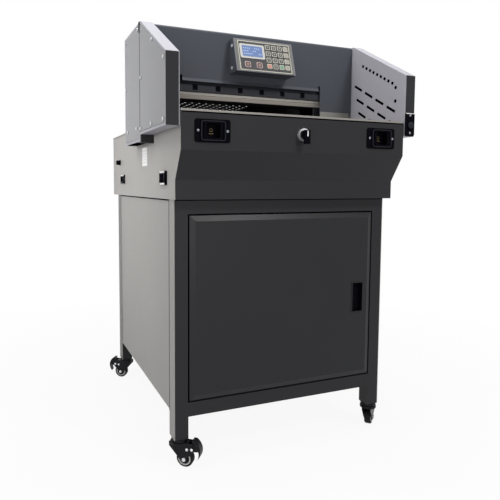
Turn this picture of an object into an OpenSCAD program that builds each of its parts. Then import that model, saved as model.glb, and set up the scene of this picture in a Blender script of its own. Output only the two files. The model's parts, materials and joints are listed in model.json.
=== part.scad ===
// Programmable paper cutter on a cabinet stand: slanted-stroke blade, screw-driven back gauge,
// hinged cabinet door, hinged rear guard and braked swivel casters.
// Frame: origin on the floor under the middle of the machine, +X right, -Y front, +Z up. Millimetres.

/* [Overall] */
// Width over the outer faces of the two wings
overall_w = 760; // [745:1:800]
// Depth from the selector lever to the rear edge of the table
overall_d = 910; // [890:1:960]
// Height from the floor to the top of the head
overall_h = 1230; // [1215:1:1280]
// Thickness of the folded cover sheet
sheet = 2; // [1.5:0.1:2.5]
// Clearance on the radius of pins and shafts
run_gap = 0.05; // [0.02:0.01:0.1]
// Air between parts that slide or swing past each other
air = 0.3; // [0.2:0.05:0.5]

/* [Base] */
// Air between the base and a wing
base_gap = 3; // [2:0.5:6]
// Height of the base from its underside to the table surface
base_h = 225; // [222:1:240]
// Height of the flat upper part of the front panel
upper_face_h = 92; // [88:1:96]
// Height of the sloping part of the front panel
slope_h = 74; // [60:1:80]
// How far the lower part of the front panel is set back
lower_setback = 47; // [35:1:50]
// Thickness of the bottom plate of the base
chassis_t = 3; // [2:0.5:4]
// Width of the vent slots in the back panel of the base
back_vent_w = 60; // [40:1:70]

/* [Table] */
// Height of the head above the table surface
head_h = 274; // [272:1:290]
// Thickness of the steel table plate
table_t = 8; // [8:0.5:10]
// Width of the replaceable cutting stick
stick_w = 12; // [10:0.5:14]
// Depth of the groove that holds the cutting stick
stick_h = 6; // [4:0.5:6.5]

/* [Cabinet] */
// How far the cabinet sides stand inside the base sides
cabinet_in = 5; // [3:1:12]
// Depth of the cabinet
cabinet_d = 741; // [700:1:760]
// How far the cabinet front stands behind the front of the base
cabinet_set = 77; // [65:1:90]
// Width and depth of a leg
leg_w = 40; // [38:1:44]
// Height of the lower edge of the bottom rail above the floor
rail_z = 140; // [125:1:150]
// Height of the bottom rail
bottom_rail_h = 41; // [36:1:50]
// Height of the top rail
top_rail_h = 40; // [34:1:50]
// Depth of the rail flanges
rail_d = 25; // [22:1:32]
// Height of the lower edge of the side panels above the floor
side_z = 147; // [142:1:160]

/* [Door] */
// Gap between the door and its opening
door_gap = 3; // [2.5:0.1:4]
// Width of the bevel round the raised field of the door
door_bevel = 15; // [12:1:22]
// How far the field of the door stands out
door_raise = 7; // [4:0.5:7]
// Depth of the folded rim of the door
door_rim = 16; // [15:0.5:22]
// Diameter of the door pivot pins
door_pin_d = 8; // [6:0.5:9]
// Distance of the door pivot from the edge of the door
door_pivot_in = 14; // [12:0.5:18]
// Width of the recessed pull
pull_w = 42; // [36:1:48]
// Height of the recessed pull
pull_h = 94; // [80:1:110]
// Depth of the recessed pull
pull_d = 14; // [10:1:15]
// Distance of the pull from the free edge of the door
pull_in = 29; // [24:1:40]
// Height of the middle of the pull above the floor
pull_z = 430; // [400:1:460]

/* [Casters] */
// Height of a caster from the floor to the leg
caster_h = 79; // [76:1:82]
// Diameter of the wheels
wheel_d = 48; // [45:1:50]
// Width of the tread
wheel_w = 20; // [16:1:22]
// Diameter of the wheel axles
axle_d = 8; // [6:0.5:10]
// Distance of the axle behind the swivel axis
trail = 19; // [15:1:20]
// Thickness of the fork cheeks
cheek_t = 2.5; // [2:0.1:3]
// Diameter of the swivel head
swivel_d = 50; // [46:1:52]
// Diameter of the brake pedal pins
pedal_pin_d = 5; // [4:0.5:6]
// Thickness of the caster top plate
plate_t = 3; // [2:0.5:4]
// Side of the square caster top plate
plate_w = 38; // [34:1:40]

/* [Head] */
// How far the face of the head stands behind the front of the base
head_set = 257; // [250:1:265]
// Depth of the head
head_d = 210; // [205:1:225]
// Height of the throat above the table
throat_h = 120; // [116:1:126]
// Height of the lower edge of the column covers above the table
cover_lift = 56; // [50:1:60]
// Height of the rear wall of the head
head_rear_h = 130; // [120:1:140]
// Radius of the bend along the top of the head
head_bend = 8; // [5:0.5:12]
// Air between an end of the head and a wing
head_gap = 2.5; // [1:0.5:4]

/* [Gantry] */
// Distance of the column faces behind the face of the head
column_set = 39; // [38:1:42]
// Depth of the columns
column_d = 154; // [148:1:156]
// Air between a column and a wing
gantry_gap = 10; // [8:1:14]
// Width of the left column
column_left_w = 73; // [69:1:77]
// Width of the right column
column_right_w = 115; // [111:1:121]
// Height of the cross beam
beam_h = 85; // [70:1:90]
// Depth of the cross beam
beam_d = 80; // [60:1:85]
// Air between the top of the gantry and the top of the head
gantry_top_gap = 25; // [20:1:30]

/* [Blade] */
// Height of the blade edge above the table at rest
blade_lift = 75; // [73:0.5:76]
// Height of the blade
blade_h = 74; // [70:1:78]
// Thickness of the blade
blade_t = 10; // [8:0.5:10]
// Height of the bevel on the blade
blade_bevel = 9; // [6:0.5:12]
// How much of the blade shows below its carrier
blade_show = 18; // [16:0.5:20]
// How far the blade reaches past the right end of the throat at rest
blade_over = 35; // [34:1:36]
// Sideways travel of the blade on its way down
blade_side = 30; // [25:1:31]
// Thickness of the blade carrier
carrier_t = 20; // [18:0.5:21]
// Height of the blade carrier
carrier_h = 82; // [76:1:90]
// Distance of the first blade bolt from the left end of the blade
bolt_in = 50; // [46:1:54]
// Number of blade bolts
bolt_n = 7; // [5:1:7]
// Diameter of the blade bolt shanks
bolt_d = 8; // [6:0.5:9]

/* [Clamp] */
// Height of the clamp foot above the table at rest
clamp_lift = 72; // [68:1:73]
// Height of the clamp beam
clamp_h = 90; // [80:1:91]
// Depth of the clamp beam
clamp_d = 40; // [34:1:42]
// Depth of the guide grooves in the columns
groove_d = 10; // [8:1:12]
// Width of the guide grooves in the columns
groove_w = 24; // [20:1:28]

/* [Back gauge] */
// Distance of the gauge face in front of the rear edge of the table at rest
gauge_back = 115; // [110:1:130]
// Height of the gauge face
gauge_h = 78; // [60:1:84]
// Thickness of the gauge face
gauge_t = 12; // [10:1:14]
// Depth of the gauge foot
gauge_foot_d = 60; // [55:1:64]
// Diameter of the lead screw
screw_d = 16; // [15:0.5:18]
// Diameter of the lead screw journals
journal_d = 12; // [10:0.5:13]
// Depth of the lead screw axis below the table plate
screw_drop = 38; // [36:1:42]
// Size of the square gauge motor
gauge_motor_w = 57; // [50:1:60]
// Length of the gauge motor
gauge_motor_l = 60; // [50:1:76]

/* [Blade drive] */
// Radius of the crank disc
crank_disc_r = 56; // [54:1:58]
// Diameter of the gearbox output shaft
crank_shaft_d = 25; // [20:1:30]
// Width of the pull rod
rod_w = 30; // [26:1:32]
// Diameter of the drive motor
motor_d = 118; // [100:1:124]
// Length of the drive motor
motor_l = 180; // [150:1:200]

/* [Wings] */
// Thickness of a wing
wing_t = 35; // [33:1:36]
// How far the slanted edge of a wing falls towards the front
wing_fall = 140; // [126:1:150]
// How far a wing reaches below the table surface at the front
wing_low = 42; // [34:1:50]
// How far a wing reaches below the table surface at the rear
wing_rear_low = 61; // [56:1:66]
// How far the slanted edge of a wing runs back
wing_slope_d = 252; // [240:1:256]
// Distance of the cover seam behind the front of a wing
wing_seam = 266; // [262:1:276]
// Width of the rim round a wing cover
wing_rim = 7; // [5:0.5:9]
// Width of the ledge that carries a wing cover
wing_ledge = 5; // [4:0.5:7]
// Air round a wing cover
cover_gap = 1.2; // [0.5:0.1:2]
// Length of the vent slots
vent_l = 43; // [36:1:46]
// Width of the vent slots
vent_w = 8; // [6:0.5:9]
// Length of the sensor windows
window_l = 11; // [8:0.5:14]
// Height of the sensor windows
window_w = 8.5; // [6:0.5:10]
// Height of the sensor module on the right wing
module_h = 66; // [60:1:70]

/* [Rear guard] */
// How far the rear guard reaches past each end of the throat
guard_over = 14; // [10:1:18]
// Height of the rear guard above the table
guard_h = 126; // [118:1:128]
// Radius of the upper corners of the rear guard
guard_r = 70; // [60:1:80]
// Diameter of the guard hinge pins
guard_pin_d = 6; // [5:0.5:7]
// Width of the slots in the guard screen
guard_slot_w = 11; // [9:0.5:12]
// Length of the slots in the guard screen
guard_slot_l = 30; // [24:1:34]
// Spacing of the slots across the guard
guard_pitch = 29; // [26:1:32]
// Spacing of the rows of slots
guard_row = 44; // [40:1:50]
// Thickness of the guard screen
screen_t = 1; // [0.8:0.1:2]

/* [Controls] */
// Width of the control box
box_w = 199; // [190:1:210]
// Height of the lower edge of the control box above the throat
box_lift = 30; // [27:1:34]
// Height of the control box
box_h = 103; // [98:1:108]
// How far the top of the control box stands out from the head
box_top_d = 25; // [22:1:30]
// How far the bottom of the control box stands out from the head
box_bottom_d = 57; // [52:1:60]
// Distance of the middle of the control box from the middle of the machine
box_x = -4.5; // [-8:0.5:0]
// Width of a hand button housing
housing_w = 96; // [90:1:100]
// Height of a hand button housing
housing_h = 58; // [56:1:60]
// Distance of the hand buttons from the sides of the base
hand_in = 83; // [80:1:92]
// Depth of the hand buttons below the table surface
hand_drop = 52; // [50:1:54]
// Side of a hand button
button_w = 36; // [32:1:37]
// Travel of a hand button
button_travel = 5; // [4:0.5:6]
// Outer diameter of the selector ring
ring_d = 34; // [32:1:36]
// Diameter of the selector knob
knob_d = 25; // [23:0.5:26]
// How far the selector lever stands out from the front panel
knob_reach = 25; // [24:0.5:28]
// Width of the power inlet
inlet_w = 50; // [46:1:54]
// Height of the power inlet
inlet_h = 32; // [30:1:36]
// Width of the main switch frame
switch_w = 52; // [48:1:56]
// Height of the main switch frame
switch_h = 38; // [36:1:42]
// How far the inlet and the switch frame stand out
socket_out = 7; // [5:0.5:9]
// Diameter of the fuse holder cap
fuse_d = 17; // [15:0.5:20]

/* [Hidden] */
$fn = 48;

// Paint and material colours
charcoal = "#38383b";
light_grey = "#a8a8aa";
bright_steel = "#cfccc4";
cast_iron = "#55585a";
black_plastic = "#17171a";
black_rubber = "#1b1b1c";
chrome = "#d9dadc";
motor_grey = "#6d7073";

// Planes of the machine
front_y = -overall_d / 2 + knob_reach;
rear_y = overall_d / 2;
cover_x = overall_w / 2;
wing_x = cover_x - wing_t;
base_x = wing_x - base_gap;
base_in = base_x - sheet;
table_z = overall_h - head_h;
base_bottom = table_z - base_h;
plate_bottom = table_z - table_t;
panel_top = plate_bottom;
crease_upper = panel_top - upper_face_h;
crease_lower = crease_upper - slope_h;
lower_y = front_y + lower_setback;
bend_shift = sheet * tan(atan(lower_setback / slope_h) / 2);

// Cabinet
cab_x = base_x - cabinet_in;
cab_front = front_y + cabinet_set;
cab_rear = cab_front + cabinet_d;
leg_out = cab_x - sheet;
leg_in = cab_x - leg_w;
sill_z = rail_z + bottom_rail_h;
lintel_z = base_bottom - top_rail_h;
leg_lap = 6;

// Door
door_x = leg_in - door_gap;
door_z0 = sill_z + door_gap;
door_z1 = lintel_z - door_gap;
pivot_x = -door_x + door_pivot_in;
pivot_y = cab_front + door_rim / 2;
boss_h = 16;
boss_d = 2 * door_pin_d;
pull_x = door_x - pull_in - pull_w / 2;
pull_rim = 3;
pull_wall = 1.5;
pull_r = 8;

// Casters
wheel_r = wheel_d / 2;
fork_in = wheel_w + 3;
fork_out = fork_in + 2 * cheek_t;
race_h = 6;
race_d = swivel_d - 6;
fork_top = caster_h - plate_t - race_h - air;
crown_h = 7;
pedal_t = trail + 20;
pedal_z = wheel_r + 27;
pedal_reach = 34.5;
pedal_w = fork_in - 1;
plate_r = 6;
caster_x = (cab_x + leg_in) / 2;
caster_y = [cab_front + leg_w / 2, cab_rear - leg_w / 2];
caster_places = [[-caster_x, caster_y[0]], [caster_x, caster_y[0]], [-caster_x, caster_y[1]],
    [caster_x, caster_y[1]]];
caster_turns = [-40, 41, 148, 300];

// Head, gantry and blade
head_y = front_y + head_set;
head_back = head_y + head_d;
gantry_x = wing_x - gantry_gap;
throat_left = column_left_w - gantry_x;
throat_right = gantry_x - column_right_w;
throat_top = table_z + throat_h;
column_cover_z = table_z + cover_lift;
head_rear_z = overall_h - head_rear_h;
throat_mid = (throat_left + throat_right) / 2;
throat_w = throat_right - throat_left;
column_y = head_y + column_set;
column_back = column_y + column_d;
gantry_top = overall_h - gantry_top_gap;
beam_y = column_back - beam_d;
blade_edge = table_z + blade_lift;
carrier_z = blade_edge + blade_show;
blade_back = column_y - 2;
carrier_back = blade_back - blade_t;
stick_y = [blade_back - (blade_t + stick_w) / 2, blade_back - (blade_t - stick_w) / 2];
carrier_front = carrier_back - carrier_t;
blade_left = throat_left;
blade_right = throat_right + blade_over;
pad_gap = 4;
carrier_left = blade_left - pad_gap - 39;
carrier_right = gantry_x;
notch_w = 16;
notch_h = 14;
notch_d = 14;
bar_h = 18;
bolt_head_h = 8;
bolt_head_d = 14;
bolt_z = carrier_z + 14;
bolt_x0 = blade_left + bolt_in;
bolt_end = 23;
bolt_pitch = (blade_right - bolt_end - bolt_x0) / (bolt_n - 1);
clamp_y = column_y + 2;
clamp_z = table_z + clamp_lift;
groove_y = clamp_y + (clamp_d - groove_w) / 2;
skirt_t = 4;
lip_d = 5;
bend_steps = 6;
relief_w = 7;
relief_h = 17;
skirt_in = 2;

// Back gauge and lead screw
gauge_y = rear_y - gauge_back;
gauge_x = throat_mid;
gauge_side = 7;
gauge_lift = 0.5;
screw_z = plate_bottom - screw_drop;
neck_w = 14;
nut_d = 36;
nut_w = 40;
nut_y = gauge_y + (gauge_foot_d - nut_d) / 2;
gauge_front_y = column_y + 64;
slot_w = neck_w + 2;
lug_t = 20;
lug_w = 46;
lug_front = column_y - 6;
lug_rear = gauge_y + gauge_foot_d + 25;
lug_low = screw_z - journal_d - 3;

// Blade drive
rod_y = carrier_front + 4;
rod_t = 12;
rod_x = throat_right + 65;
blade_drop = blade_lift - 0.5;
eye_drop = 81;
eye_z = plate_bottom - eye_drop;
crank_x = rod_x - blade_side / 2;
crank_z = eye_z - blade_drop / 2;
rod_gap = 0.6;
crank_y = rod_y + rod_t + 20;
crank_t = 14;
gearbox_y = crank_y + crank_t + 2;
gearbox_w = 120;
gearbox_d = 114;
gearbox_rise = 70;
gearbox_top = crank_z + gearbox_rise;
gearbox_web = 20;
motor_foot_in = 30;
motor_foot_h = 20;
motor_lift = 4;
rod_slot = 3;

// Wings
wing_back = head_back;
wing_front_top = overall_h - wing_fall;
wing_bottom = table_z - wing_low;
wing_rear_bottom = table_z - wing_rear_low;
wing_slope = atan((overall_h - wing_front_top) / wing_slope_d);
seam_gap = 2;
vent_step = vent_l + 18;
vent_rows = [4, 4, 3];
vent_row_drop = 45;
vent_row_back = 11;
vent_drop = 130;
vent_back = 12;
window_drop = 74;
window_back = 53;
mouth_in = 40;
mouth_end = 16;
window_n = 9;
window_step = 20.2;
bracket_h = 24;
bracket_d = 12;
module_out = 3;

// Rear guard
guard_w = throat_w + 2 * guard_over;
guard_axis_y = head_back + 12;
guard_axis_z = table_z + guard_h + 14;
guard_front = guard_axis_y - 3;
guard_back = rear_y - 5;
guard_low = table_z + air;
guard_flange = 8;
guard_edge = 20;
screen_lap = 10;
ear_x = 150;
ear_t = 6;
ear_gap = 2;

// Controls
hand_x = base_x - hand_in;
hand_z = table_z - hand_drop;
box_bottom = throat_top + box_lift;
box_top = box_bottom + box_h;
box_tilt = atan((box_bottom_d - box_top_d) / box_h);
box_wall = 2;
overlay_in = 5;
overlay_t = 1.5;
housing_t = 3;
collar_w = button_w + 14;
collar_out = 8;
button_sink = 18;
button_body = 34;
knob_t = 8;
selector_z = hand_z;
selector_x = 2;
selector_shaft = 10;
selector_body = 22;
ring_out = 8;
inlet_back = 195;
inlet_y = rear_y - inlet_back;
inlet_up = 59;
inlet_z = base_bottom + inlet_up;
switch_in = 150;
switch_y = front_y + switch_in;
switch_up = 57;
switch_z = base_bottom + switch_up;
fuse_back = 138;
fuse_y = rear_y - fuse_back;
fuse_up = 122;
fuse_z = base_bottom + fuse_up;
fuse_out = 15;
socket_wall = 5;
socket_flange = 3;
rocker_w = 34;
rocker_h = 22;
rocker_pin = 4;
rocker_tilt = 9;

// A box between two corners
module slab(x, y, z) translate([x[0], y[0], z[0]]) cube([x[1] - x[0], y[1] - y[0], z[1] - z[0]]);

// A profile of (y, z) points drawn out along X
module along_x(points, x) translate([x[0], 0, 0]) rotate([90, 0, 90])
    linear_extrude(x[1] - x[0]) polygon(points);

// A rod along Y
module rod_along_y(x, z, y, d) translate([x, y[0], z]) rotate([-90, 0, 0])
    cylinder(h = y[1] - y[0], d = d);

// A rod along X
module rod_along_x(y, z, x, d) translate([x[0], y, z]) rotate([0, 90, 0])
    cylinder(h = x[1] - x[0], d = d);

// A rectangle about its middle with round corners
module round_rect(w, h, r) {
    square([w - 2 * r, h], center = true);
    square([w, h - 2 * r], center = true);
    for (x = [r - w / 2, w / 2 - r], y = [r - h / 2, h / 2 - r]) translate([x, y]) circle(r = r);
}

// A block along Y with round corners, between two values of Y
module round_block(x, z, w, h, r, y) translate([x, y[1], z]) rotate([90, 0, 0])
    linear_extrude(y[1] - y[0]) round_rect(w, h, r);

// What stands on the left, repeated on the right
module both_sides() {
    children();
    mirror([1, 0, 0]) children();
}

// Casters

module at_caster(i) translate([caster_places[i][0], caster_places[i][1], 0])
    rotate(caster_turns[i]) children();

module cheek_outline() {
    translate([trail, wheel_r]) circle(d = axle_d + 12);
    polygon([
        [-swivel_d / 2, fork_top], [pedal_t + 6, fork_top], [pedal_t + 6, pedal_z - 6],
        [trail + 9, wheel_r + 4], [trail - 8, wheel_r - 6], [-swivel_d / 2, fork_top - 12],
    ]);
}

module cheek(side) translate([0, side * (fork_out - cheek_t) / 2 + cheek_t / 2, 0]) rotate([90, 0, 0])
    linear_extrude(cheek_t) cheek_outline();

module caster_fork(i) color(black_plastic) at_caster(i) {
    cheek(-1);
    cheek(1);
    slab([0, pedal_t - 8], [-fork_out / 2, fork_out / 2], [fork_top - crown_h, fork_top]);
    translate([0, 0, fork_top - crown_h]) cylinder(h = crown_h, d = swivel_d);
    rod_along_y(trail, wheel_r, [-fork_out / 2 - 3, fork_out / 2 + 3], axle_d);
    rod_along_y(pedal_t, pedal_z, [-fork_out / 2, fork_out / 2], pedal_pin_d);
}

module caster_wheel(i) color(black_rubber) at_caster(i) translate([trail, 0, wheel_r]) rotate([90, 0, 0])
    rotate_extrude() {
        tread = [[wheel_r - 2, -wheel_w / 2], [wheel_r, -wheel_w / 2 + 3], [wheel_r, wheel_w / 2 - 3],
            [wheel_r - 2, wheel_w / 2]];
        hub = axle_d / 2 + run_gap;
        polygon(concat(
            [[hub, -wheel_w / 2 - 1], [hub + 4, -wheel_w / 2 - 1], [hub + 5, -wheel_w / 2 + 3],
             [wheel_r - 9, -wheel_w / 2 + 3], [wheel_r - 8, -wheel_w / 2]],
            tread,
            [[wheel_r - 8, wheel_w / 2], [wheel_r - 9, wheel_w / 2 - 3], [hub + 5, wheel_w / 2 - 3],
             [hub + 4, wheel_w / 2 + 1], [hub, wheel_w / 2 + 1]]));
    }

module pedal_claw() intersection() {
    difference() {
        translate([pedal_t - 8, pedal_z - 2]) circle(r = pedal_reach);
        translate([pedal_t - 13.2, pedal_z - 9.3]) circle(r = pedal_reach);
    }
    translate([pedal_t + 2, 0]) square([2 * pedal_reach, caster_h - 0.5]);
}

module caster_brake(i) color(black_plastic) at_caster(i) difference() {
    translate([0, pedal_w / 2, 0]) rotate([90, 0, 0]) linear_extrude(pedal_w) {
        pedal_claw();
        translate([pedal_t, pedal_z]) circle(d = pedal_pin_d + 6);
        polygon([[pedal_t, pedal_z - 5], [pedal_t + 21, pedal_z - 2], [pedal_t + 17, pedal_z + 9],
            [pedal_t + 8, pedal_z + 20], [pedal_t + 3, pedal_z + 22], [pedal_t - 3, pedal_z + 3]]);
    }
    rod_along_y(pedal_t, pedal_z, [-pedal_w, pedal_w], pedal_pin_d + 2 * run_gap);
}

module caster_plate() {
    translate([0, 0, -plate_t]) linear_extrude(plate_t) round_rect(plate_w, plate_w, plate_r);
    translate([0, 0, -plate_t - race_h]) cylinder(h = race_h, d = race_d);
}

module caster_plates() color(black_plastic)
    for (place = caster_places) translate([place[0], place[1], caster_h]) caster_plate();

// Cabinet

module leg(side, y) difference() {
    slab(side < 0 ? [-leg_out, -leg_in] : [leg_in, leg_out], [y, y + leg_w], [caster_h, base_bottom]);
    slab(side < 0 ? [-leg_out + sheet, -leg_in - sheet] : [leg_in + sheet, leg_out - sheet],
        [y + sheet, y + leg_w - sheet], [caster_h + sheet, base_bottom + 1]);
}

// A rail folded to a channel that opens to the rear
module rail(z) difference() {
    slab([-leg_in, leg_in], [cab_front, cab_front + rail_d], z);
    slab([-leg_in - 1, leg_in + 1], [cab_front + sheet, cab_front + rail_d + 1],
        [z[0] + sheet, z[1] - sheet]);
}

module front_frame() color(charcoal) difference() {
    union() {
        for (side = [-1, 1]) leg(side, cab_front);
        rail([rail_z, sill_z]);
        rail([lintel_z, base_bottom]);
    }
    for (z = [sill_z - sheet - 1, lintel_z - 1])
        translate([pivot_x, pivot_y, z]) cylinder(h = sheet + 2, d = door_pin_d);
}

module cabinet_side() {
    slab([-cab_x, -leg_out], [cab_front, cab_front + leg_w + leg_lap], [caster_h, base_bottom]);
    slab([-cab_x, -leg_out], [cab_rear - leg_w - leg_lap, cab_rear], [caster_h, base_bottom]);
    slab([-leg_out, -leg_out + sheet], [cab_front + leg_w, cab_rear - leg_w], [side_z, base_bottom]);
    slab([-leg_out, -leg_out + rail_d], [cab_front + leg_w, cab_rear - leg_w], [side_z, side_z + sheet]);
}

module cabinet_side_left() color(light_grey) cabinet_side();

module cabinet_side_right() color(light_grey) mirror([1, 0, 0]) cabinet_side();

module cabinet_back() color(charcoal) {
    for (side = [-1, 1]) leg(side, cab_rear - leg_w);
    slab([-leg_in, leg_in], [cab_rear - sheet, cab_rear], [side_z, base_bottom]);
    slab([-leg_in, leg_in], [cab_rear - rail_d, cab_rear], [side_z, side_z + sheet]);
}

module cabinet_floor() color(light_grey) difference() {
    slab([-leg_out + sheet, leg_out - sheet], [cab_front + rail_d, cab_rear - sheet],
        [sill_z - sheet, sill_z]);
    for (x = [-leg_out, leg_in], y = [cab_front, cab_rear - leg_w])
        translate([x, y, rail_z]) cube([leg_out - leg_in, leg_w, bottom_rail_h + 1]);
}

// Outline of the door across its width or height, set in by d
function door_outline(lo, hi, d) = [
    [lo + d, cab_front + door_rim + d], [lo + d, cab_front + d],
    [lo + door_bevel, cab_front - door_raise + d], [hi - door_bevel, cab_front - door_raise + d],
    [hi - d, cab_front + d], [hi - d, cab_front + door_rim + d],
];

module door_pan(d) intersection() {
    translate([0, 0, door_z0 + d]) linear_extrude(door_z1 - door_z0 - 2 * d)
        polygon(door_outline(-door_x, door_x, d));
    along_x([for (p = door_outline(door_z0, door_z1, d)) [p[1], p[0]]], [-door_x + d, door_x - d]);
}

module pull_box(grow, y)
    round_block(pull_x, pull_z, pull_w + 2 * grow, pull_h + 2 * grow, pull_r + grow, y);

module door() color(charcoal) difference() {
    union() {
        difference() {
            door_pan(0);
            door_pan(sheet);
        }
        for (z = [door_z0, door_z1 - boss_h])
            translate([pivot_x, pivot_y, z]) cylinder(h = boss_h, d = boss_d);
    }
    for (z = [door_z0 - 1, door_z1 - boss_h - 1])
        translate([pivot_x, pivot_y, z]) cylinder(h = boss_h + 2, d = door_pin_d + 2 * run_gap);
    pull_box(-pull_rim, [cab_front - door_raise - 1, cab_front]);
}

module door_pull() color(black_plastic) {
    y = cab_front - door_raise;
    difference() {
        union() {
            pull_box(0, [y - pull_wall, y]);
            pull_box(-pull_rim, [y - pull_wall, y + pull_d]);
        }
        pull_box(-pull_rim - pull_wall, [y - pull_wall - 1, y + pull_d - pull_wall]);
    }
}

module hinge_pins() color(chrome) {
    translate([pivot_x, pivot_y, sill_z - sheet])
        cylinder(h = sheet + door_gap + boss_h - 2, d = door_pin_d);
    translate([pivot_x, pivot_y, door_z1 - boss_h + 2])
        cylinder(h = boss_h - 2 + door_gap + sheet, d = door_pin_d);
    at_guard() rod_along_x(guard_axis_y, guard_axis_z, [ear_x, ear_x + ear_gap + 2 * ear_t], guard_pin_d);
}

// Base

module base_chassis() color(motor_grey)
    slab([-base_in, base_in], [lower_y + sheet, rear_y - sheet], [base_bottom, base_bottom + chassis_t]);

module base_front_panel() color(charcoal) difference() {
    along_x([
        [front_y, panel_top], [front_y, crease_upper], [lower_y, crease_lower], [lower_y, base_bottom],
        [lower_y + sheet, base_bottom], [lower_y + sheet, crease_lower + bend_shift],
        [front_y + sheet, crease_upper + bend_shift], [front_y + sheet, panel_top],
    ], [-base_x, base_x]);
    for (x = [-hand_x, hand_x])
        slab([x - button_w / 2 - housing_t, x + button_w / 2 + housing_t], [front_y - 1, front_y + sheet + 1],
            [hand_z - button_w / 2 - housing_t, hand_z + button_w / 2 + housing_t]);
    rod_along_y(selector_x, selector_z, [front_y - 1, front_y + sheet + 1], selector_body);
}

module base_side() along_x([
    [front_y + sheet, panel_top], [front_y + sheet, crease_upper + bend_shift],
    [lower_y + sheet, crease_lower + bend_shift], [lower_y + sheet, base_bottom],
    [rear_y, base_bottom], [rear_y, panel_top],
], [base_in, base_x]);

module socket_hole(y, z, w, h)
    slab([-base_x - 1, -base_in + 1], [y - w / 2, y + w / 2], [z - h / 2, z + h / 2]);

module base_side_left() color(light_grey) difference() {
    mirror([1, 0, 0]) base_side();
    socket_hole(inlet_y, inlet_z, inlet_w - 2 * socket_wall, inlet_h - 2 * socket_wall);
    socket_hole(switch_y, switch_z, switch_w - 2 * socket_wall, switch_h - 2 * socket_wall);
    rod_along_x(fuse_y, fuse_z, [-base_x - 1, -base_in + 1], fuse_d - 5);
}

module base_side_right() color(light_grey) base_side();

module base_back_panel() color(light_grey) difference() {
    slab([-base_in, base_in], [rear_y - sheet, rear_y], [base_bottom, panel_top]);
    for (x = [-2:2], row = [0:3])
        slab([x * (back_vent_w + 20) - back_vent_w / 2, x * (back_vent_w + 20) + back_vent_w / 2],
            [rear_y - sheet - 1, rear_y + 1], [base_bottom + 80 + row * 20, base_bottom + 86 + row * 20]);
}

// Table, back gauge and its drive

module table() color(bright_steel) difference() {
    union() {
        slab([-base_x, base_x], [front_y, rear_y], [plate_bottom, table_z]);
        for (y = [lug_front, lug_rear])
            slab([gauge_x - lug_w / 2, gauge_x + lug_w / 2], [y, y + lug_t], [lug_low, plate_bottom]);
    }
    slab([gauge_x - slot_w / 2, gauge_x + slot_w / 2], [gauge_front_y, gauge_y + gauge_foot_d],
        [plate_bottom - 1, table_z + 1]);
    slab([throat_left, throat_right], stick_y, [table_z - stick_h, table_z + 1]);
    slab([rod_x - blade_side - rod_w / 2 - rod_slot, rod_x + rod_w / 2 + rod_slot],
        [rod_y - rod_slot, rod_y + rod_t + rod_slot], [plate_bottom - 1, table_z + 1]);
    for (y = [lug_front, lug_rear])
        rod_along_y(gauge_x, screw_z, [y - 1, y + lug_t + 1], journal_d + 2 * run_gap);
}

module cutting_stick() color("#8c2f2a")
    slab([throat_left, throat_right], stick_y, [table_z - stick_h, table_z]);

module back_gauge() color(cast_iron) difference() {
    z0 = table_z + gauge_lift;
    face = [throat_left + gauge_side, throat_right - gauge_side];
    union() {
        slab(face, [gauge_y, gauge_y + gauge_t], [z0, z0 + gauge_h]);
        slab(face, [gauge_y, gauge_y + gauge_foot_d], [z0, z0 + gauge_t]);
        for (x = [face[0], gauge_x - gauge_t / 2, face[1] - gauge_t])
            along_x([[gauge_y, z0], [gauge_y + gauge_foot_d, z0], [gauge_y + gauge_foot_d, z0 + gauge_t],
                [gauge_y + gauge_t, z0 + gauge_h - gauge_t], [gauge_y, z0 + gauge_h - gauge_t]],
                [x, x + gauge_t]);
        slab([gauge_x - neck_w / 2, gauge_x + neck_w / 2], [nut_y, nut_y + nut_d], [screw_z, z0 + 1]);
        slab([gauge_x - nut_w / 2, gauge_x + nut_w / 2], [nut_y, nut_y + nut_d],
            [screw_z - nut_w / 2, plate_bottom - 2]);
    }
    rod_along_y(gauge_x, screw_z, [nut_y - 1, nut_y + nut_d + 1], screw_d + 2 * run_gap);
}

module lead_screw() color(bright_steel) {
    rod_along_y(gauge_x, screw_z, [lug_front + 1, lug_rear + lug_t], journal_d);
    rod_along_y(gauge_x, screw_z, [lug_front + lug_t + air, lug_rear - air], screw_d);
}

module gauge_motor() color(black_plastic) {
    half = gauge_motor_w / 2;
    motor_y = lug_front - gauge_motor_l;
    slab([gauge_x - half, gauge_x + half], [motor_y, lug_front], [screw_z - half, screw_z + half]);
    rod_along_y(gauge_x, screw_z, [motor_y - 8, motor_y], gauge_motor_w / 2);
}

// Gantry, blade and clamp

module gantry() color(cast_iron) difference() {
    union() {
        slab([-gantry_x, throat_left], [column_y, column_back], [table_z, gantry_top]);
        slab([throat_right, gantry_x], [column_y, column_back], [table_z, gantry_top]);
        slab([-gantry_x, gantry_x], [beam_y, column_back], [gantry_top - beam_h, gantry_top]);
    }
    slab([throat_left - groove_d, throat_right + groove_d], [groove_y, groove_y + groove_w],
        [table_z + 1, gantry_top - beam_h]);
}

module throat_skirts() color(bright_steel) {
    y = [head_y, head_y + skirt_t];
    slab([-gantry_x, throat_left - skirt_in], y, [table_z, column_cover_z]);
    slab([throat_right + skirt_in, gantry_x], y, [table_z, column_cover_z]);
}

// What belongs to one hinge of the rear guard, set about the middle of the throat
module at_guard() translate([throat_mid, 0, 0]) both_sides() children();

module guard_ear() difference() {
    slab([ear_x + ear_t + ear_gap, ear_x + 2 * ear_t + ear_gap],
        [head_back - sheet, guard_axis_y + guard_pin_d],
        [guard_axis_z - guard_pin_d - 2, head_rear_z + 14]);
    rod_along_x(guard_axis_y, guard_axis_z, [ear_x, ear_x + 3 * ear_t], guard_pin_d);
}

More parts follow.
